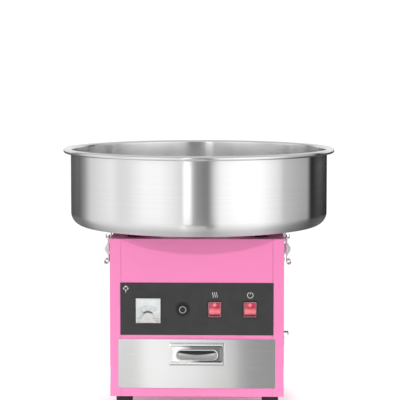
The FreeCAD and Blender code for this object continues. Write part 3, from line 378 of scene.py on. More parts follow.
def spun_steel():
    """Bright spun stainless: fine turning lines run round the axis, and the underside is satin."""
    steel = (0.80, 0.80, 0.80)
    satin = 0.42
    bright = 0.16
    satin_to = BOWL_LOW.z + 9.0 * MM
    bright_from = BOWL_LOW.z + 25.0 * MM
    mat, tree, bsdf = shader("spun_stainless", steel, 1.0, bright, Anisotropic=1.0,
                             Anisotropic_Rotation=0.25)
    turned_grain(tree, bsdf)
    at = split_up(tree, place(tree))
    square_x = calc(tree, "MULTIPLY", at["X"], at["X"])
    radius = calc(tree, "SQRT", calc(tree, "MULTIPLY_ADD", at["Y"], at["Y"], square_x))
    lines = tree.nodes.new("ShaderNodeCombineXYZ")
    tree.links.new(radius, lines.inputs["X"])
    tree.links.new(at["Z"], lines.inputs["Z"])
    grain = noise(tree, lines.outputs["Vector"], 1400.0, 2.0)
    tint(tree, bsdf, grain, scaled(steel, 0.97), scaled(steel, 1.02))
    roughness = remap(tree, at["Z"], satin, bright, satin_to, bright_from)
    tree.links.new(roughness, bsdf.inputs["Roughness"])
    bump(tree, bsdf, grain, 0.000004, 0.15)
    return mat


def brushed_steel(name, level, roughness, scale, anisotropic=0.0):
    """Brushed stainless sheet, its grain long in X."""
    steel = (level, level, level * 0.995)
    mat, tree, bsdf = shader(name, steel, 1.0, roughness, Anisotropic=anisotropic,
                             Anisotropic_Rotation=0.25)
    turned_grain(tree, bsdf)
    grain = noise(tree, place(tree, scale), 1.0, 4.0)
    tint(tree, bsdf, grain, scaled(steel, 0.95), scaled(steel, 1.03))
    roughen(tree, bsdf, grain, roughness * 0.92, roughness * 1.08)
    bump(tree, bsdf, grain, 0.000004, 0.2)
    return mat


def cup_steel_painted_shade():
    """The pressed inside of the pull: dull, with painted shade towards its top, darkest in the middle."""
    dark = (0.035, 0.035, 0.035)
    light = (0.74, 0.74, 0.73)
    fall = -1.3              # how fast the painted shade narrows towards both ends
    mat, tree, bsdf = shader("cup_stainless_painted_shade", light, 0.35, 0.42)
    at = split_up(tree, across_piece(tree))
    off_centre = calc(tree, "SUBTRACT", at["X"], 0.5)
    height = calc(tree, "MULTIPLY_ADD", calc(tree, "MULTIPLY", off_centre, off_centre), fall, at["Z"])
    # painted shade: the base colour darkens towards the top of the cup
    tint(tree, bsdf, remap(tree, height, 1.0, 0.0, 0.20, 0.52), dark, light)
    roughen(tree, bsdf, noise(tree, place(tree), 240.0), 0.36, 0.48)
    return mat


def pan_steel_painted_reflection():
    """The pull's sunk face: polished, with a painted reflection that darkens it towards its right end."""
    dark = (0.22, 0.22, 0.22)
    light = (0.92, 0.92, 0.91)
    slope = 0.22             # how much the edge of the painted reflection leans
    mat, tree, bsdf = shader("pan_stainless_painted_reflection", light, 1.0, 0.22)
    at = split_up(tree, across_piece(tree))
    slant = calc(tree, "MULTIPLY_ADD", at["Z"], slope, at["X"])
    # painted reflection: the base colour darkens towards the right end
    tint(tree, bsdf, remap(tree, slant, 1.0, 0.0, 0.20, 0.78), dark, light)
    roughen(tree, bsdf, noise(tree, place(tree), 240.0), 0.18, 0.26)
    return mat


def plain_metal(name, color, roughness, grain_scale):
    """Plated or cast metal with a faint mottle."""
    mat, tree, bsdf = shader(name, color, 1.0, roughness)
    wear = noise(tree, place(tree), grain_scale)
    tint(tree, bsdf, wear, scaled(color, 0.90), scaled(color, 1.06))
    roughen(tree, bsdf, wear, roughness * 0.8, roughness * 1.25)
    return mat


def moulded(name, color, roughness, grain=1800.0, height=0.00002, **values):
    """Moulded plastic or rubber with a fine spark-eroded texture."""
    mat, tree, bsdf = shader(name, color, 0.0, roughness, **values)
    tone = noise(tree, place(tree), 45.0)
    tint(tree, bsdf, tone, scaled(color, 0.88), scaled(color, 1.12))
    roughen(tree, bsdf, tone, roughness * 0.9, roughness * 1.1)
    bump(tree, bsdf, noise(tree, place(tree), grain, 1.0), height, 0.5)
    return mat


def clear_plastic():
    """The meter's thin clear cover."""
    mat, tree, bsdf = shader("clear_cover", (0.94, 0.97, 0.97), 0.0, 0.06, IOR=1.49, Alpha=0.05)
    tint(tree, bsdf, noise(tree, place(tree), 30.0), (0.92, 0.96, 0.96), (0.96, 0.98, 0.98))
    roughen(tree, bsdf, noise(tree, place(tree), 90.0), 0.03, 0.08)
    return mat


def lens_painted_light():
    """Clear red lens whose light is painted: painted shade where it is pressed in, painted light where
    it stands proud, painted shade at its lower end, and a glowing painted highlight near the top."""
    dark = (0.18, 0.006, 0.02)
    deep = (0.22, 0.008, 0.03)
    rising = (0.72, 0.13, 0.16)
    pale = (0.84, 0.22, 0.25)
    falling = (0.72, 0.12, 0.16)
    pressed = (0.42, 0.028, 0.065)
    top = (0.50, 0.04, 0.085)
    # painted shade and painted light down the lens's height, over its own red
    stops = ((0.0, dark), (0.17, deep), (0.23, rising), (0.36, pale), (0.54, falling), (0.62, pressed),
             (1.0, top))
    highlight_at = (0.5, 0.5, 0.82)
    highlight_size = (4.8, 0.3, 5.9)
    mat, tree, bsdf = shader("red_lens", pale, 0.0, 0.22, Coat_Weight=0.4, Coat_Roughness=0.1)
    at = across_piece(tree)
    ramp = tree.nodes.new("ShaderNodeValToRGB")
    for k, (position, color) in enumerate(stops):
        set_stop(ramp.color_ramp.elements, k, position, color)
    tree.links.new(split_up(tree, at)["Z"], ramp.inputs["Fac"])
    tree.links.new(ramp.outputs["Color"], bsdf.inputs["Base Color"])
    # painted highlight: a glowing spot near the top of the lens
    away = tree.nodes.new("ShaderNodeVectorMath")
    away.operation = "SUBTRACT"
    away.inputs[1].default_value = highlight_at
    tree.links.new(at, away.inputs[0])
    spread = tree.nodes.new("ShaderNodeVectorMath")
    spread.operation = "MULTIPLY"
    spread.inputs[1].default_value = highlight_size
    tree.links.new(away.outputs["Vector"], spread.inputs[0])
    ball = tree.nodes.new("ShaderNodeTexGradient")
    ball.gradient_type = "SPHERICAL"
    tree.links.new(spread.outputs["Vector"], ball.inputs["Vector"])
    painted_glint = tree.nodes.new("ShaderNodeValToRGB")
    set_stop(painted_glint.color_ramp.elements, 0, 0.0, (0.0, 0.0, 0.0))
    set_stop(painted_glint.color_ramp.elements, 1, 1.0, (1.0, 0.30, 0.30))
    tree.links.new(ball.outputs["Fac"], painted_glint.inputs["Fac"])
    tree.links.new(painted_glint.outputs["Color"], bsdf.inputs["Emission Color"])
    bsdf.inputs["Emission Strength"].default_value = 1.0
    roughen(tree, bsdf, noise(tree, place(tree), 120.0), 0.18, 0.26)
    return mat


MATERIALS = {
    "pink": powder_coat(),
    "bowl": spun_steel(),
    "drawer": brushed_steel("drawer_stainless", 0.80, 0.24, (12.0, 400.0, 2200.0), 0.8),
    "handle": brushed_steel("handle_stainless", 0.82, 0.17, (20.0, 300.0, 900.0)),
    "cup": cup_steel_painted_shade(),
    "pan": pan_steel_painted_reflection(),
    "latch": plain_metal("latch_stainless", (0.86, 0.85, 0.84), 0.42, 260.0),
    # the side hook's dark grey is painted shade
    "hook": plain_metal("hook_painted_shade", (0.13, 0.12, 0.12), 0.50, 260.0),
    "zinc": plain_metal("zinc_plate", (0.70, 0.71, 0.74), 0.36, 30.0),
    "rivet": plain_metal("rivet_aluminium", (0.80, 0.80, 0.81), 0.34, 500.0),
    "cast": plain_metal("turned_aluminium", (0.78, 0.78, 0.79), 0.30, 60.0),
    "core": plain_metal("core_laminations", (0.34, 0.33, 0.33), 0.45, 900.0),
    "brass": plain_metal("ring_brass", (0.80, 0.60, 0.28), 0.25, 300.0),
    "element": plain_metal("element_sheath", (0.30, 0.25, 0.24), 0.42, 180.0),
    "panel": moulded("panel_overlay", (0.036, 0.035, 0.035), 0.5, 2400.0, 0.00001,
                     Specular_IOR_Level=0.35),
    "black": moulded("black_plastic", (0.016, 0.016, 0.017), 0.42, Specular_IOR_Level=0.3),
    "rubber": moulded("black_rubber", (0.018, 0.018, 0.018), 0.75, 900.0, 0.00006),
    "white": moulded("meter_white", (0.68, 0.70, 0.705), 0.42, 2600.0, 0.000005),
    "ink": moulded("printing_ink", (0.52, 0.52, 0.51), 0.55, 3000.0, 0.000002),
    "pale_ink": moulded("scale_ink", (0.30, 0.31, 0.32), 0.55, 3000.0, 0.000002),
    "mask": moulded("meter_mask_grey", (0.60, 0.59, 0.57), 0.45, 2600.0, 0.000005),
    "dark_ink": moulded("dial_ink", (0.03, 0.03, 0.03), 0.5, 3000.0, 0.000002),
    "clear": clear_plastic(),
    "lens": lens_painted_light(),
    "enamel": moulded("motor_enamel", (0.10, 0.11, 0.12), 0.35, 500.0, 0.00004),
    "frame": moulded("switch_frame", (0.74, 0.38, 0.42), 0.25, 1500.0, 0.000005, Coat_Weight=0.3),
    # the fuse ring's grey is a painted highlight on the cap's chamfer
    "ring": plain_metal("fuse_ring_painted_highlight", (0.40, 0.40, 0.40), 0.42, 300.0),
    "phenolic": moulded("phenolic", (0.16, 0.07, 0.03), 0.4, 900.0),
    "carbon": moulded("pressed_carbon", (0.03, 0.03, 0.03), 0.5, 1500.0),
    "nylon": moulded("natural_nylon", (0.72, 0.72, 0.66), 0.4, 900.0),
}

CAD_FINISH = {
    "pink": ["back_panel", "base_pan", "front_panel", "left_side_panel", "right_side_panel", "top_plate"],
    "zinc": ["motor_deck", "drawer_rails", "foot_bolts", "motor_bolts", "panel_screws", "drawer_box",
             "head_nut"],
    "latch": ["bowl_keepers", "latch_bases", "motor_bearings", "motor_shaft", "head_screws"],
    "hook": ["side_hook"],
    "rivet": ["blind_rivets"],
    "bowl": ["shaft_guard"],
    "rubber": ["rubber_feet", "bowl_pads"],
    "panel": ["control_panel"],
    "white": ["meter_case", "meter_dial"],
    "black": ["fuse_holder", "cooling_fan", "bridge_rectifier", "cable_gland"],
    "enamel": ["motor_housing"],
    "cast": ["motor_end_bell", "head_base", "head_slotted_band", "head_cover"],
    "core": ["motor_stator", "rotor_core"],
    "phenolic": ["slip_ring_insulator", "brush_holder"],
    "brass": ["slip_rings"],
    "carbon": ["carbon_brushes"],
    "nylon": ["terminal_block"],
    "element": ["heating_element"],
}


def set_material(obj, key):
    obj.data.materials.clear()
    obj.data.materials.append(MATERIALS[key])


def finish_cad_nodes():
    """Gives the shown CAD nodes their materials."""
    for key, names in CAD_FINISH.items():
        for name in names:
            set_material(NODES[name], key)
    for name in NODES:
        if name.startswith("latch_"):
            set_material(NODES[name], "latch")


def piece(obj, key, body, replaces=()):
    """Gives a new piece its material, its body and the nodes that it stands for."""
    set_material(obj, key)
    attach(obj, body)
    if replaces:
        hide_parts(*replaces)
    return obj


# ---------------------------------------------------------------- bowl
def make_bowl():
    """The spun bowl: a round-cornered wall, a tight bend into the rim's flat, a rolled bead at its
    edge, and an upturned lip round the hole in its floor."""
    sheet = 1.0 * MM
    wall = 246.0 * MM
    corner = 25.0 * MM
    bead = 4.2 * MM
    bead_r = BOWL_HIGH.x - bead
    bend = 5.0 * MM
    bend_r = wall - sheet + bend
    hole = 95.0 * MM
    hole_bend = 2.5 * MM
    hole_r = hole + hole_bend + sheet
    lip_top = BOWL_LOW.z + 13.0 * MM
    lip_edge = lip_top - 0.3 * MM
    base = BOWL_LOW.z
    top = BOWL_HIGH.z
    centre_r = wall - corner
    wall_low = base + corner
    wall_steps = 6
    wall_rise = (top - bend - wall_low) / wall_steps
    outline = []
    outline += arc(bend_r, top - bend, bend, 180, 90, 10)
    outline += arc(bead_r, top - bead, bead, 75, -200, 26)
    outline += arc(bend_r, top - bend, bend - sheet, 92, 180, 10)
    outline += [(wall, wall_low + wall_rise * k) for k in range(wall_steps - 1, 0, -1)]
    outline += arc(centre_r, wall_low, corner, 0, -90, 14)
    outline += arc(hole_r, base + hole_bend + sheet, hole_bend + sheet, 270, 180, 6)
    outline += [(hole, lip_edge), (hole + sheet * 0.5, lip_top), (hole + sheet, lip_edge)]
    outline += arc(hole_r, base + hole_bend + sheet, hole_bend, 180, 270, 6)
    outline += arc(centre_r, wall_low, corner - sheet, -90, 0, 14)
    outline += [(wall - sheet, wall_low + wall_rise * k) for k in range(1, wall_steps)]
    bowl = lathe("spun_bowl", outline, 320, 50.0)
    piece(bowl, "bowl", "root", ["bowl"])


# ---------------------------------------------------------------- drawer front and handle
def bow(x, half):
    """How far the sheet stands forward: it is slightly crowned across its width."""
    return 1.6 * MM * (1 - (x / half) ** 2)


def make_drawer():
    """The drawer's crowned front: a folded rim, its two faces and the hole that the pull sits in."""
    half = DRAWER_HIGH.x
    low = DRAWER_LOW.z
    high = DRAWER_HIGH.z
    middle = (low + high) / 2
    tall = (high - low) / 2
    back = DRAWER_HIGH.y
    face = DRAWER_LOW.y + 1.0 * MM
    edge = 0.4 * MM
    cx, cz, hx, hz = handle_pan()
    room = 1.5 * MM
    hole = (cx - hx - room, cx + hx + room, cz - hz - room, cz + hz + room)

    def column(x):
        return face - bow(x, half)

    def crowned(loop):
        return [(x, y - bow(x, half) if y < back else y, z) for x, y, z in loop]

    def frame_at(inset, radius, y):
        return crowned(rounded_rect(0, middle, half - inset, tall - inset, radius, y))

    outer = [frame_at(0.0, 1.2 * MM, back),
             frame_at(0.0, 1.2 * MM, face + edge),
             frame_at(edge * 0.3, 1.2 * MM, face + edge * 0.3),
             frame_at(edge, 1.0 * MM, face)]
    rim = loft("drawer_rim", outer)
    grid = sheet_grid(half - edge, low + edge, high - edge, column, hole)
    rear = sheet_grid(half, low, high, lambda x: back, hole)
    around = [(x, hole[2]) for x in grid_columns(half - edge, hole) if hole[0] <= x <= hole[1]]
    around += [(x, hole[3]) for x, z in reversed(around)]
    front_edge = [(x, column(x), z) for x, z in around]
    back_edge = [(x, back, z) for x, z in around]
    edges = loft("drawer_hole", [front_edge, back_edge])
    front = joined("drawer_face", [rim, grid, rear, edges])
    piece(front, "drawer", "drawer", ["drawer_front"])


def grid_columns(half, hole):
    """Where the columns of the front's grid stand, with one at each side of the hole."""
    steps = 48
    even = {-half + 2 * half * k / steps for k in range(steps + 1)}
    return sorted(even | {hole[0], hole[1]})


def sheet_grid(half, low, high, column, hole):
    """One side of the drawer's front as a grid of columns, with a rectangular hole for the handle."""
    x0, x1, z0, z1 = hole
    xs = grid_columns(half, hole)
    zs = [low, z0, z1, high]
    verts = []
    faces = []
    for x in xs:
        for z in zs:
            verts.append((x, column(x), z))
    rows = len(zs)
    for i in range(len(xs) - 1):
        for j in range(rows - 1):
            centre = (xs[i] + xs[i + 1]) / 2
            if x0 < centre < x1 and j == 1:
                continue
            a = i * rows + j
            faces.append((a, a + rows, a + rows + 1, a + 1))
    return mesh_object("drawer_grid", verts, faces)


def handle_pan():
    """Centre and half sizes of the handle's sunk rectangle."""
    centre_x = (HANDLE_LOW.x + HANDLE_HIGH.x) / 2 - 0.8 * MM
    centre_z = (HANDLE_LOW.z + HANDLE_HIGH.z) / 2
    half_x = 48.2 * MM
    half_z = 15.4 * MM
    return centre_x, centre_z, half_x, half_z


def make_handle():
    """Flush pull: a rimmed plate, a domed pan sunk in it, and a rounded cup with a rolled lip."""
    cx = (HANDLE_LOW.x + HANDLE_HIGH.x) / 2
    cz = (HANDLE_LOW.z + HANDLE_HIGH.z) / 2
    hx = (HANDLE_HIGH.x - HANDLE_LOW.x) / 2
    hz = (HANDLE_HIGH.z - HANDLE_LOW.z) / 2
    px, pz, pan_x, pan_z = handle_pan()
    front = HANDLE_LOW.y - 0.9 * MM
    seat = DRAWER_LOW.y + 0.2 * MM
    pan = front + 2.9 * MM
    dome = 1.7 * MM
    slot_x = 37.2 * MM
    slot_r = 8.35 * MM
    slot_z = cz - 2.1 * MM
    depth = HANDLE_HIGH.y - pan - 1.0 * MM
    lip = 1.5 * MM

    def domed(x, y):
        return y - dome * max(0.0, 1 - ((x - px) / pan_x) ** 2)

    def sunk(loop, weight=1.0):
        return [(x, y + (domed(x, y) - y) * weight, z) for x, y, z in loop]

    def slot(grow, y):
        return sunk(rounded_rect(0, slot_z, slot_x + grow, slot_r + grow, slot_r + grow, y, 14))

    def rect(x, z, a, b, radius, y):
        return rounded_rect(x, z, a, b, radius, y, 14)

    loops = [rect(cx, cz, hx, hz, 1.6 * MM, seat),
             rect(cx, cz, hx, hz, 1.6 * MM, front + 0.6 * MM),
             rect(cx, cz, hx - 0.2 * MM, hz - 0.2 * MM, 1.6 * MM, front + 0.2 * MM),
             rect(cx, cz, hx - 0.7 * MM, hz - 0.7 * MM, 1.4 * MM, front),
             rect(px, pz, pan_x + 0.2 * MM, pan_z + 0.2 * MM, 2.6 * MM, front),
             rect(px, pz, pan_x, pan_z, 2.4 * MM, front + 0.5 * MM),
             sunk(rect(px, pz, pan_x - 1.2 * MM, pan_z - 1.2 * MM, 2.2 * MM, pan - 0.4 * MM), 0.6),
             sunk(rect(px, pz, pan_x - 2.2 * MM, pan_z - 2.2 * MM, 2.0 * MM, pan))]
    plate = loft("handle_plate", loops[:6], sharp_angle=40.0)
    lip_foot = slot(lip + 0.9 * MM, pan)
    mouth = slot(0.0, pan - 0.2 * MM)
    sunk_face = loft("handle_pan_skin", loops[5:] + [lip_foot], sharp_angle=40.0)
    lip_loops = [lip_foot, slot(lip + 0.4 * MM, pan - 0.5 * MM), slot(lip - 0.2 * MM, pan - 1.0 * MM),
                 slot(0.4 * MM, pan - 0.9 * MM), mouth]
    ring = loft("handle_lip", lip_loops, sharp_angle=60.0)
    cup_loops = [mouth]
    steps = 9
    for k in range(1, steps + 1):
        turn = math.radians(86 * k / steps)
        cup_loops.append(slot(-slot_r * (1 - math.cos(turn)), pan + depth * math.sin(turn)))
    cup = loft("handle_cup_skin", cup_loops, close_last=True, sharp_angle=60.0)
    piece(joined("handle_flush_plate", [plate, ring]), "handle", "drawer", ["handle_cup"])
    piece(sunk_face, "pan", "drawer")
    piece(cup, "cup", "drawer")


# ---------------------------------------------------------------- control panel
def make_rockers():
    """The two lamp lenses: round-ended, hollowed at the front and pressed in at the top."""
    half = 10.4 * MM
    radius = 13.3 * MM
    proud = 8.0 * MM         # how far the ends stand out from the pivot, and the hollow between them
    dip = 6.6 * MM
    sunk = -3.0 * MM
    pressed = -10.0
    end = math.degrees(math.asin(proud / radius))
    start = math.degrees(math.asin(sunk / radius))
    for name in ("heat", "power"):
        node = name + "_rocker"
        x, y, z = JOINTS[name + "_rocker_tilt"]["pos_m"]
        upper = [(-out, up) for up, out in arc(0, 0, radius, start, end, 10)]
        tip = upper[-1][1]
        shares = [k / 4 for k in range(3, -4, -1)]
        face = [(-dip - (proud - dip) * abs(share) ** 1.6, share * tip) for share in shares]
        lower = [(a, -b) for a, b in reversed(upper)]
        body = prism(name + "_rocker_lens", upper + face + lower, x - half, x + half)
        bevelled(body, 0.7 * MM, 3, 40.0)
        tilt = Matrix.Rotation(math.radians(pressed), 4, "X")
        body.data.transform(Matrix.Translation((0, y, z)) @ tilt)
        piece(body, "lens", node, [node])


def terminal_blade(x, z, back):
    """One of a switch's spade terminals, behind its body."""
    half_x = 0.4 * MM
    half_z = 3.1 * MM
    radius = 0.3 * MM
    loops = [rounded_rect(x, z, half_x, half_z, radius, back),
             rounded_rect(x, z, half_x, half_z, radius, back + 8.2 * MM),
             rounded_rect(x, z, 0.3 * MM, 2.4 * MM, radius, back + 9.0 * MM)]
    return loft("blade", loops, close_first=True, close_last=True)


def make_bezels():
    """The switch bodies with their black bezels, and the thin red frame at each mouth."""
    low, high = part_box("switch_housings")
    half_z = (high.z - low.z) / 2
    centre_z = (high.z + low.z) / 2
    half_x = 12.75 * MM
    front = low.y
    mouth_x = 10.7 * MM
    mouth_z = 12.9 * MM
    frame_width = 0.7 * MM
    well_z = 14.4 * MM
    body_x = 12.3 * MM
    body_z = 14.9 * MM
    back = PANEL_FACE + 22.0 * MM
    parts = []
    frames = []

    def rect(x, a, b, radius, y):
        return rounded_rect(x, centre_z, a, b, radius, y)

    for name in ("heat", "power"):
        x = JOINTS[name + "_rocker_tilt"]["pos_m"][0]
        loops = [rect(x, body_x, body_z, 0.6 * MM, back),
                 rect(x, body_x, body_z, 0.6 * MM, PANEL_FACE),
                 rect(x, half_x, half_z, 1.6 * MM, PANEL_FACE),
                 rect(x, half_x, half_z, 1.6 * MM, front + 0.9 * MM),
                 rect(x, half_x - 0.3 * MM, half_z - 0.3 * MM, 1.4 * MM, front + 0.25 * MM),
                 rect(x, mouth_x + frame_width, mouth_z + frame_width, 0.8 * MM, front),
                 rect(x, mouth_x, mouth_z, 0.5 * MM, front + 0.5 * MM),
                 rect(x, mouth_x, mouth_z, 0.5 * MM, PANEL_FACE),
                 rect(x, mouth_x, well_z, 0.5 * MM, PANEL_FACE + 0.2 * MM),
                 rect(x, mouth_x, well_z, 0.5 * MM, PANEL_FACE + 12.0 * MM)]
        frames.append(loft("bezel_frame", loops[5:8]))
        parts.append(loft("bezel_back", loops[:6], close_first=True))
        parts.append(loft("bezel_well", loops[7:], close_last=True))
        for side_x in (-1, 1):
            for side_z in (-1, 1):
                parts.append(terminal_blade(x + side_x * 5.0 * MM, centre_z + side_z * 7.0 * MM, back))
    piece(joined("switch_bodies", parts), "black", "root", ["switch_housings"])
    piece(joined("switch_frames", frames), "frame", "root")


COVER_WALL = 1.4 * MM
PRINT = 0.06 * MM        # how far the meter's printing stands out
SCALE_FIRST = 135        # direction of the scale's lowest mark, in degrees
SCALE_SWEEP = 90


def square(half, radius, y):
    """A loop round a square with rounded corners, centred on the meter."""
    return rounded_rect(METER_X, METER_Z, half, half, radius, y)


def on_dial(reach, degrees):
    """The x and z of a point of the dial, at a distance and a direction from the needle's pivot."""
    turn = math.radians(degrees)
    return METER_PIVOT[0] + reach * math.cos(turn), METER_PIVOT[2] + reach * math.sin(turn)


def make_meter_cover():
    """The clear square cap over the dial, open at the back."""
    face = COVER_LOW.y
    seat = COVER_HIGH.y - 0.05 * MM
    opening = square(METER_HALF - COVER_WALL, 0.6 * MM, seat)
    loops = [opening,
             square(METER_HALF, 1.6 * MM, seat),
             square(METER_HALF, 1.6 * MM, face + 1.0 * MM),
             square(METER_HALF - 0.3 * MM, 1.6 * MM, face + 0.3 * MM),
             square(METER_HALF - 1.0 * MM, 1.4 * MM, face)]
    outer = loft("cover_out", loops, close_last=True)
    inner_loops = [opening, square(METER_HALF - COVER_WALL, 0.6 * MM, face + COVER_WALL)]
    inner = loft("cover_in", inner_loops, close_last=True)
    piece(joined("meter_clear_cover", [outer, inner]), "clear", "root", ["meter_window"])


def make_dial():
    """The printed scale: an arc with ticks, four numbers and the unit."""
    inner_r = 20.5 * MM
    last = SCALE_FIRST - SCALE_SWEEP
    scale_arc = arc(METER_PIVOT[0], METER_PIVOT[2], inner_r, SCALE_FIRST, last, 40)
    marks = [ribbon("scale_arc", scale_arc, 0.45 * MM, DIAL_FACE, PRINT)]
    steps = 30
    for step in range(steps + 1):
        direction = SCALE_FIRST - SCALE_SWEEP * step / steps
        major = step % 10 == 0
        medium = step % 5 == 0
        length = (3.0 if major else 2.2 if medium else 1.4) * MM
        path = [on_dial(reach, direction) for reach in (inner_r, inner_r + length)]
        marks.append(ribbon("tick", path, (0.4 if major else 0.22) * MM, DIAL_FACE, PRINT))
    piece(joined("dial_scale", marks), "pale_ink", "root")
    for step in range(4):
        x, z = on_dial(17.4 * MM, SCALE_FIRST - SCALE_SWEEP * step / 3)
        number("dial_number_" + str(step), str(step * 100), 3.0 * MM, (x, DIAL_FACE - PRINT, z))
    x, z = on_dial(12.6 * MM, 90)
    number("dial_unit", "V", 4.2 * MM, (x, DIAL_FACE - PRINT, z))


def make_mask():
    """The plate behind the cover's lower part, with a dome over the needle's pivot and a dark rim."""
    front = COVER_LOW.y + COVER_WALL + 0.2 * MM
    back = front + 0.7 * MM
    dome_r = 10.6 * MM
    dome_z = METER_PIVOT[2] - 1.7 * MM
    base_z = METER_Z - METER_HALF + COVER_WALL + 0.6 * MM
    reach = METER_HALF - COVER_WALL - 0.6 * MM
    outline = [(METER_X - reach, base_z), (METER_X + reach, base_z), (METER_X + reach, dome_z)]
    outline += arc(METER_X, dome_z, dome_r, 0, 180, 24)
    outline += [(METER_X - reach, dome_z)]
    mask = prism("meter_mask", outline, front, back, axis="Y")
    piece(bevelled(mask, 0.15 * MM, 2, 50.0), "mask", "root")
    rim = crescent("mask_rim", METER_X, dome_z, dome_r + 2.2 * MM, 3.4 * MM, front, PRINT)
    piece(rim, "dark_ink", "root")


def make_needle():
    """A fine tapered needle on its hub, at rest on the scale's lowest mark."""
    low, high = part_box("meter_needle")
    root_half = 0.6 * MM
    tip_half = 0.12 * MM
    turn = math.radians(SCALE_FIRST)
    side = Vector((-math.sin(turn), math.cos(turn)))
    root = Vector((METER_PIVOT[0], METER_PIVOT[2]))
    tip = Vector(on_dial(19.0 * MM, SCALE_FIRST))
    outline = [root + side * root_half, root - side * root_half]
    outline += [tip - side * tip_half, tip + side * tip_half]
    blade = prism("blade", outline, low.y + 0.3 * MM, low.y + 0.7 * MM, axis="Y")
    hub_r = 2.2 * MM
    ends = [rounded_rect(root.x, root.y, hub_r, hub_r, hub_r, y) for y in (low.y, high.y)]
    hub = loft("hub", ends, close_first=True, close_last=True)
    needle = joined("needle_blade", [blade, hub])
    piece(needle, "dark_ink", "meter_needle", ["meter_needle"])


def make_meter_screws():
    """Three small screws in the lower part of the cover."""
    places = ((-17.6 * MM, -18.0 * MM), (17.6 * MM, -18.0 * MM), (0.0, -15.2 * MM))
    screws = [slotted_head(METER_X + dx, METER_Z + dz, COVER_LOW.y) for dx, dz in places]
    piece(joined("meter_screws", screws), "zinc", "root")


def number(name, text, size, at):
    """A generic numeral or unit on the dial, as a thin mesh."""
    curve = bpy.data.curves.new(name, "FONT")
    curve.body = text
    curve.size = size
    curve.align_x = "CENTER"
    curve.align_y = "CENTER"
    curve.extrude = 0.02 * MM
    obj = new_object(name + "_text", curve)
    obj.matrix_world = Matrix.Translation(at) @ Matrix.Rotation(math.radians(90), 4, "X")
    bpy.context.view_layer.update()
    graph = bpy.context.evaluated_depsgraph_get()
    mesh = bpy.data.meshes.new_from_object(obj.evaluated_get(graph))
    mesh.transform(obj.matrix_world)
    bpy.data.objects.remove(obj)
    piece(new_object(name, mesh), "pale_ink", "root")


def slotted_head(x, z, y):
    """A small domed screw head on the plane y, with a fine bar that stands for its slot."""
    radius = 1.7 * MM
    loops = []
    for grow, rise in ((1.0, 0.0), (1.0, 0.25), (0.92, 0.45), (0.7, 0.62), (0.35, 0.7)):
        loops.append(circle(x, z, radius * grow, y - rise * MM, 24))
    head = loft("screw_head", loops, close_first=True, close_last=True)
    bar = rectangle(x, z, radius * 0.8, 0.18 * MM)
    slot = prism("screw_slot", bar, y - 0.74 * MM, y - 0.5 * MM, axis="Y")
    return joined("screw", [head, slot])


def make_fuse():
    """The fuse's cap: a knurled grip, a metal ring on its face whose grey is a painted highlight,
    and a dark bar for its slot.
    """
    low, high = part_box("fuse_cap")
    x = (low.x + high.x) / 2
    z = (low.z + high.z) / 2
    radius = (high.x - low.x) / 2
    face = low.y
    grooves = 24
    groove = 0.035           # depth of a groove, as a share of the radius
    count = grooves * 6

    def knurled(y):
        loop = []
        for k in range(count):
            turn = FULL_TURN * k / count
            reach = radius * (1 - groove * (0.5 + 0.5 * math.cos(turn * grooves)))
            loop.append((x + reach * math.cos(turn), y, z + reach * math.sin(turn)))
        return loop

    def even(share, y):
        return circle(x, z, radius * share, y, count)

    loops = [knurled(face + 4.5 * MM),
             knurled(face + 0.9 * MM),
             even(0.97, face + 0.35 * MM),
             even(0.90, face),
             even(0.64, face),
             even(0.62, face + 0.9 * MM)]
    cap = loft("fuse_cap_grip", loops, close_first=True, close_last=True)
    piece(cap, "black", "fuse_cap", ["fuse_cap"])
    # painted highlight: a grey ring where the cap's chamfer catches the light
    section = ((0.91, 0.02 * MM), (0.87, 0.30 * MM), (0.68, 0.30 * MM), (0.64, 0.02 * MM))
    ring = loft("fuse_cap_highlight_ring", [circle(x, z, radius * share, face - out, 72) for share, out in section])
    piece(ring, "ring", "fuse_cap")
    bar = rectangle(x, z, 3.6 * MM, 0.6 * MM)
    slot = prism("fuse_cap_slot", bar, face + 0.6 * MM, face + 1.0 * MM, axis="Y")
    piece(bevelled(slot, 0.12 * MM, 2), "dark_ink", "fuse_cap")


ICON = 0.08 * MM         # how far the panel's icons stand out


def over_rocker(name, right, up):
    """The x and z of a point over a rocker's pivot."""
    pivot = JOINTS[name + "_rocker_tilt"]["pos_m"]
    return pivot[0] + right, pivot[2] + up


def make_heat_icon():
    """Three upright waves."""
    x, z = over_rocker("heat", 0.3 * MM, 27.0 * MM)
    apart = 3.6 * MM
    tall = 10.0 * MM
    sway = 0.9 * MM
    steps = 24
    waves = []
    for k in (-1, 0, 1):
        path = []
        for step in range(steps + 1):
            share = step / steps
            path.append((x + k * apart + sway * math.sin(FULL_TURN * share), z + (share - 0.5) * tall))
        waves.append(ribbon("wave", path, 1.1 * MM, PANEL_FACE, ICON))
    piece(joined("heat_icon", waves), "ink", "root")


def make_power_icon():
    """A ring open at the top, with a bar in the gap."""
    x, z = over_rocker("power", 0.4 * MM, 26.5 * MM)
    width = 1.2 * MM
    ring = ribbon("ring", arc(x, z, 5.2 * MM, 112, 428, 48), width, PANEL_FACE, ICON)
    bar = ribbon("bar", [(x, z + 1.6 * MM), (x, z + 5.8 * MM)], width, PANEL_FACE, ICON)
    piece(joined("power_icon", [ring, bar]), "ink", "root")


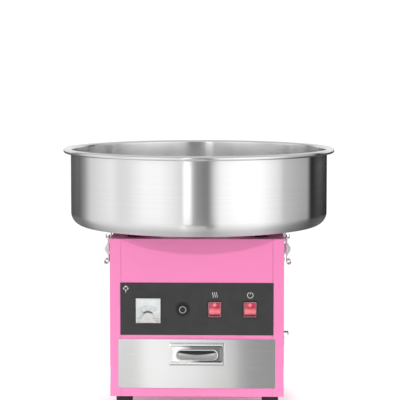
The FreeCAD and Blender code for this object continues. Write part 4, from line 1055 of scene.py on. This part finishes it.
def make_floss_icon():
    """Four round puffs on a pointed stick, in the panel's top left corner."""
    x = PANEL_LOW.x + 10.1 * MM
    z = PANEL_HIGH.z - 11.1 * MM
    puffs = []
    for dx, dz, radius in ((-2.4, 0.2, 2.6), (2.4, 0.2, 2.6), (0.0, 2.6, 2.9), (0.0, -0.9, 2.7)):
        disc = arc(x + dx * MM, z + dz * MM, radius * MM, 0, 350, 35)
        puffs.append(prism("puff", disc, PANEL_FACE - ICON, PANEL_FACE, axis="Y"))
    shoulder = z - 3.6 * MM
    stick = [(x - 0.9 * MM, shoulder), (x, z - 9.0 * MM), (x + 0.9 * MM, shoulder)]
    puffs.append(prism("stick", stick, PANEL_FACE - ICON, PANEL_FACE, axis="Y"))
    piece(joined("floss_icon", puffs), "ink", "root")


# ---------------------------------------------------------------- studio
def make_stage():
    """A round pale floor just under the feet."""
    radius = 0.37
    centre = 0.0005
    thick = 0.001
    under = 0.0002
    floor = lathe("floor", [(centre, 0.0), (radius, 0.0), (radius, -thick), (centre, -thick)], 96)
    floor.data.transform(Matrix.Translation((0, 0, CAD_BOX[0].z - under)))
    mat, tree, bsdf = shader("studio_floor", (0.88, 0.88, 0.88), 0.0, 0.6, Emission_Strength=0.12)
    bsdf.inputs["Emission Color"].default_value = (1.0, 1.0, 1.0, 1.0)
    tint(tree, bsdf, noise(tree, place(tree), 3.0), (0.87, 0.87, 0.87), (0.89, 0.89, 0.89))
    floor.data.materials.append(mat)
    floor.visible_glossy = False


def area_light(name, at, target, size_x, size_y, power, seen_in_gloss=False):
    data = bpy.data.lights.new(name, "AREA")
    data.shape = "RECTANGLE"
    data.size = size_x
    data.size_y = size_y
    data.energy = power
    lamp = new_object(name, data)
    lamp.location = at
    lamp.rotation_euler = (Vector(target) - Vector(at)).to_track_quat("-Z", "Y").to_euler()
    lamp.visible_glossy = seen_in_gloss
    lamp.visible_camera = False
    return lamp


def near_card(name, x_low, x_high, radiance):
    """A glowing card low in front of the drawer, which only reflections see."""
    distance = 0.66
    high = 0.26
    data = bpy.data.lights.new(name, "AREA")
    data.shape = "RECTANGLE"
    data.size = x_high - x_low
    data.size_y = high
    data.energy = radiance * math.pi * data.size * high
    card = new_object(name, data)
    card.location = ((x_low + x_high) / 2, -distance, 0.0)
    card.rotation_euler = (math.radians(90), 0, 0)
    card.visible_camera = False
    card.visible_diffuse = False
    card.visible_transmission = False
    return card


# The studio round the machine, as seen in the bowl: degrees from the front (positive to the
# right) and brightness. Dark ends behind, a pale wall and a softbox to the left, a narrow strip
# light and a dark flag in front, a brighter softbox and a grey wall to the right.
STUDIO_BANDS = [(-180, 0.12), (-150, 0.08), (-132, 0.10), (-121, 0.36), (-111, 0.74), (-96, 0.92),
                (-82, 1.05), (-72, 0.86), (-64, 0.90), (-47, 1.26), (-33, 1.27), (-22, 1.06), (-13.2, 0.80),
                (-11, 1.75), (-6.2, 1.75), (-4.4, 0.72), (-1, 0.32), (5, 0.20), (9.6, 0.24), (15, 0.98),
                (22, 1.26), (40, 1.50), (52, 1.42), (65, 1.20), (77, 0.94), (82, 0.66), (96, 0.58),
                (113, 0.50), (119, 0.02), (165, 0.01), (180, 0.12)]
# The ground in front of the machine, as the drawer sees it: pale at the sides, darker in the middle.
GROUND_BANDS = [(-180, 0.10), (-130, 0.20), (-110, 0.80), (-60, 0.95), (-14, 0.95), (-9, 0.42), (4, 0.42),
                (7, 0.32), (14, 0.32), (20, 0.95), (60, 1.10), (90, 0.50), (118, 0.10), (180, 0.10)]
GROUND_FROM = -0.15      # height of the view direction where the ground starts
GROUND_FULL = -0.18
DEEP_FROM = -0.70        # where it changes to the brightness straight below
DEEP_FULL = -0.95
CEILING_FROM = 0.30      # and where the ceiling starts
CEILING_FULL = 0.65
CEILING = 0.66           # brightness straight above
BELOW = 0.60             # brightness straight below
BEHIND_FROM = 0.55       # the pale backdrop behind the machine, above the horizon
BEHIND_FULL = 0.75
HORIZON = 0.03           # half the height of the backdrop's soft lower edge
BACKDROP = 0.86
BAND_PEAK = 1.8
PAGE_WHITE = 1.05        # what the camera sees behind the machine


def grey(level):
    """A brightness of the studio as a colour, scaled so that BAND_PEAK is white."""
    return (level / BAND_PEAK,) * 3


def band_ramp(tree, share, bands):
    """A grey ramp round the horizon."""
    ramp = tree.nodes.new("ShaderNodeValToRGB")
    for k, (degrees, level) in enumerate(bands):
        set_stop(ramp.color_ramp.elements, k, (degrees + 180) / 360, grey(level))
    tree.links.new(share, ramp.inputs["Fac"])
    return ramp.outputs["Color"]


def mixed(tree, factor, first, second):
    """A mix of a colour socket with another one, or with a colour."""
    mix = tree.nodes.new("ShaderNodeMix")
    mix.data_type = "RGBA"
    tree.links.new(factor, mix.inputs["Factor"])
    tree.links.new(first, mix.inputs["A"])
    if isinstance(second, tuple):
        mix.inputs["B"].default_value = (*second, 1.0)
    else:
        tree.links.new(second, mix.inputs["B"])
    return mix.outputs["Result"]


def studio_colour(tree):
    """Upright soft bands with a ground below, a backdrop behind the machine and a soft ceiling."""
    at = split_up(tree, tree.nodes.new("ShaderNodeTexCoord").outputs["Generated"])
    forward = calc(tree, "MULTIPLY", at["Y"], -1.0)
    share = remap(tree, calc(tree, "ARCTAN2", at["X"], forward), 0.0, 1.0, -math.pi, math.pi)
    bands = band_ramp(tree, share, STUDIO_BANDS)
    ground = band_ramp(tree, share, GROUND_BANDS)
    low = remap(tree, at["Z"], 0.0, 1.0, GROUND_FROM, GROUND_FULL)
    deep = remap(tree, at["Z"], 0.0, 1.0, DEEP_FROM, DEEP_FULL)
    high = remap(tree, at["Z"], 0.0, 1.0, CEILING_FROM, CEILING_FULL)
    behind = remap(tree, at["Y"], 0.0, 1.0, BEHIND_FROM, BEHIND_FULL)
    raised = remap(tree, at["Z"], 0.0, 1.0, -HORIZON, HORIZON)
    colour = mixed(tree, low, bands, mixed(tree, deep, ground, grey(BELOW)))
    colour = mixed(tree, calc(tree, "MULTIPLY", behind, raised), colour, grey(BACKDROP))
    return mixed(tree, high, colour, grey(CEILING))


def make_world():
    """The studio that lights the machine; the camera sees plain white."""
    world = bpy.data.worlds.new("studio")
    bpy.context.scene.world = world
    world.use_nodes = True
    tree = world.node_tree
    tree.nodes.clear()
    studio = tree.nodes.new("ShaderNodeBackground")
    studio.inputs["Strength"].default_value = BAND_PEAK
    tree.links.new(studio_colour(tree), studio.inputs["Color"])
    plain = tree.nodes.new("ShaderNodeBackground")
    plain.inputs["Color"].default_value = (1.0, 1.0, 1.0, 1.0)
    plain.inputs["Strength"].default_value = PAGE_WHITE
    path = tree.nodes.new("ShaderNodeLightPath")
    choose = tree.nodes.new("ShaderNodeMixShader")
    tree.links.new(path.outputs["Is Camera Ray"], choose.inputs["Fac"])
    tree.links.new(studio.outputs["Background"], choose.inputs[1])
    tree.links.new(plain.outputs["Background"], choose.inputs[2])
    output = tree.nodes.new("ShaderNodeOutputWorld")
    tree.links.new(choose.outputs["Shader"], output.inputs["Surface"])


def make_camera():
    """The viewpoint: far in front, a little above the bowl, looking slightly down."""
    data = bpy.data.cameras.new("camera")
    data.lens = 140.46
    data.sensor_width = 36.0
    data.shift_y = -0.1
    camera = new_object("camera", data)
    camera.location = (0.0714, -3.0, 0.6762)
    camera.rotation_mode = "QUATERNION"
    forward = Vector((-0.0231, 1.0, -0.0701))
    camera.rotation_quaternion = forward.to_track_quat("-Z", "Y")
    bpy.context.scene.camera = camera


def make_studio():
    """Camera, floor, surroundings, lamps and cards."""
    make_camera()
    make_stage()
    make_world()
    area_light("key", (-0.15, -2.8, 1.85), (0, 0, 0.25), 0.18, 0.12, 23.0)
    area_light("overhead", (0, 0.3, 2.6), (0, 0, 0.2), 2.0, 2.0, 120.0)
    near_card("card_bright", -0.150, 0.010, 0.67)
    near_card("card_soft", 0.010, 0.085, 0.53)
    bpy.context.scene.view_settings.view_transform = "Standard"
    bpy.context.scene.view_settings.look = "None"


finish_cad_nodes()
make_bowl()
make_drawer()
make_handle()
make_rockers()
make_bezels()
make_meter_cover()
make_dial()
make_mask()
make_needle()
make_meter_screws()
make_fuse()
make_heat_icon()
make_power_icon()
make_floss_icon()
make_studio()
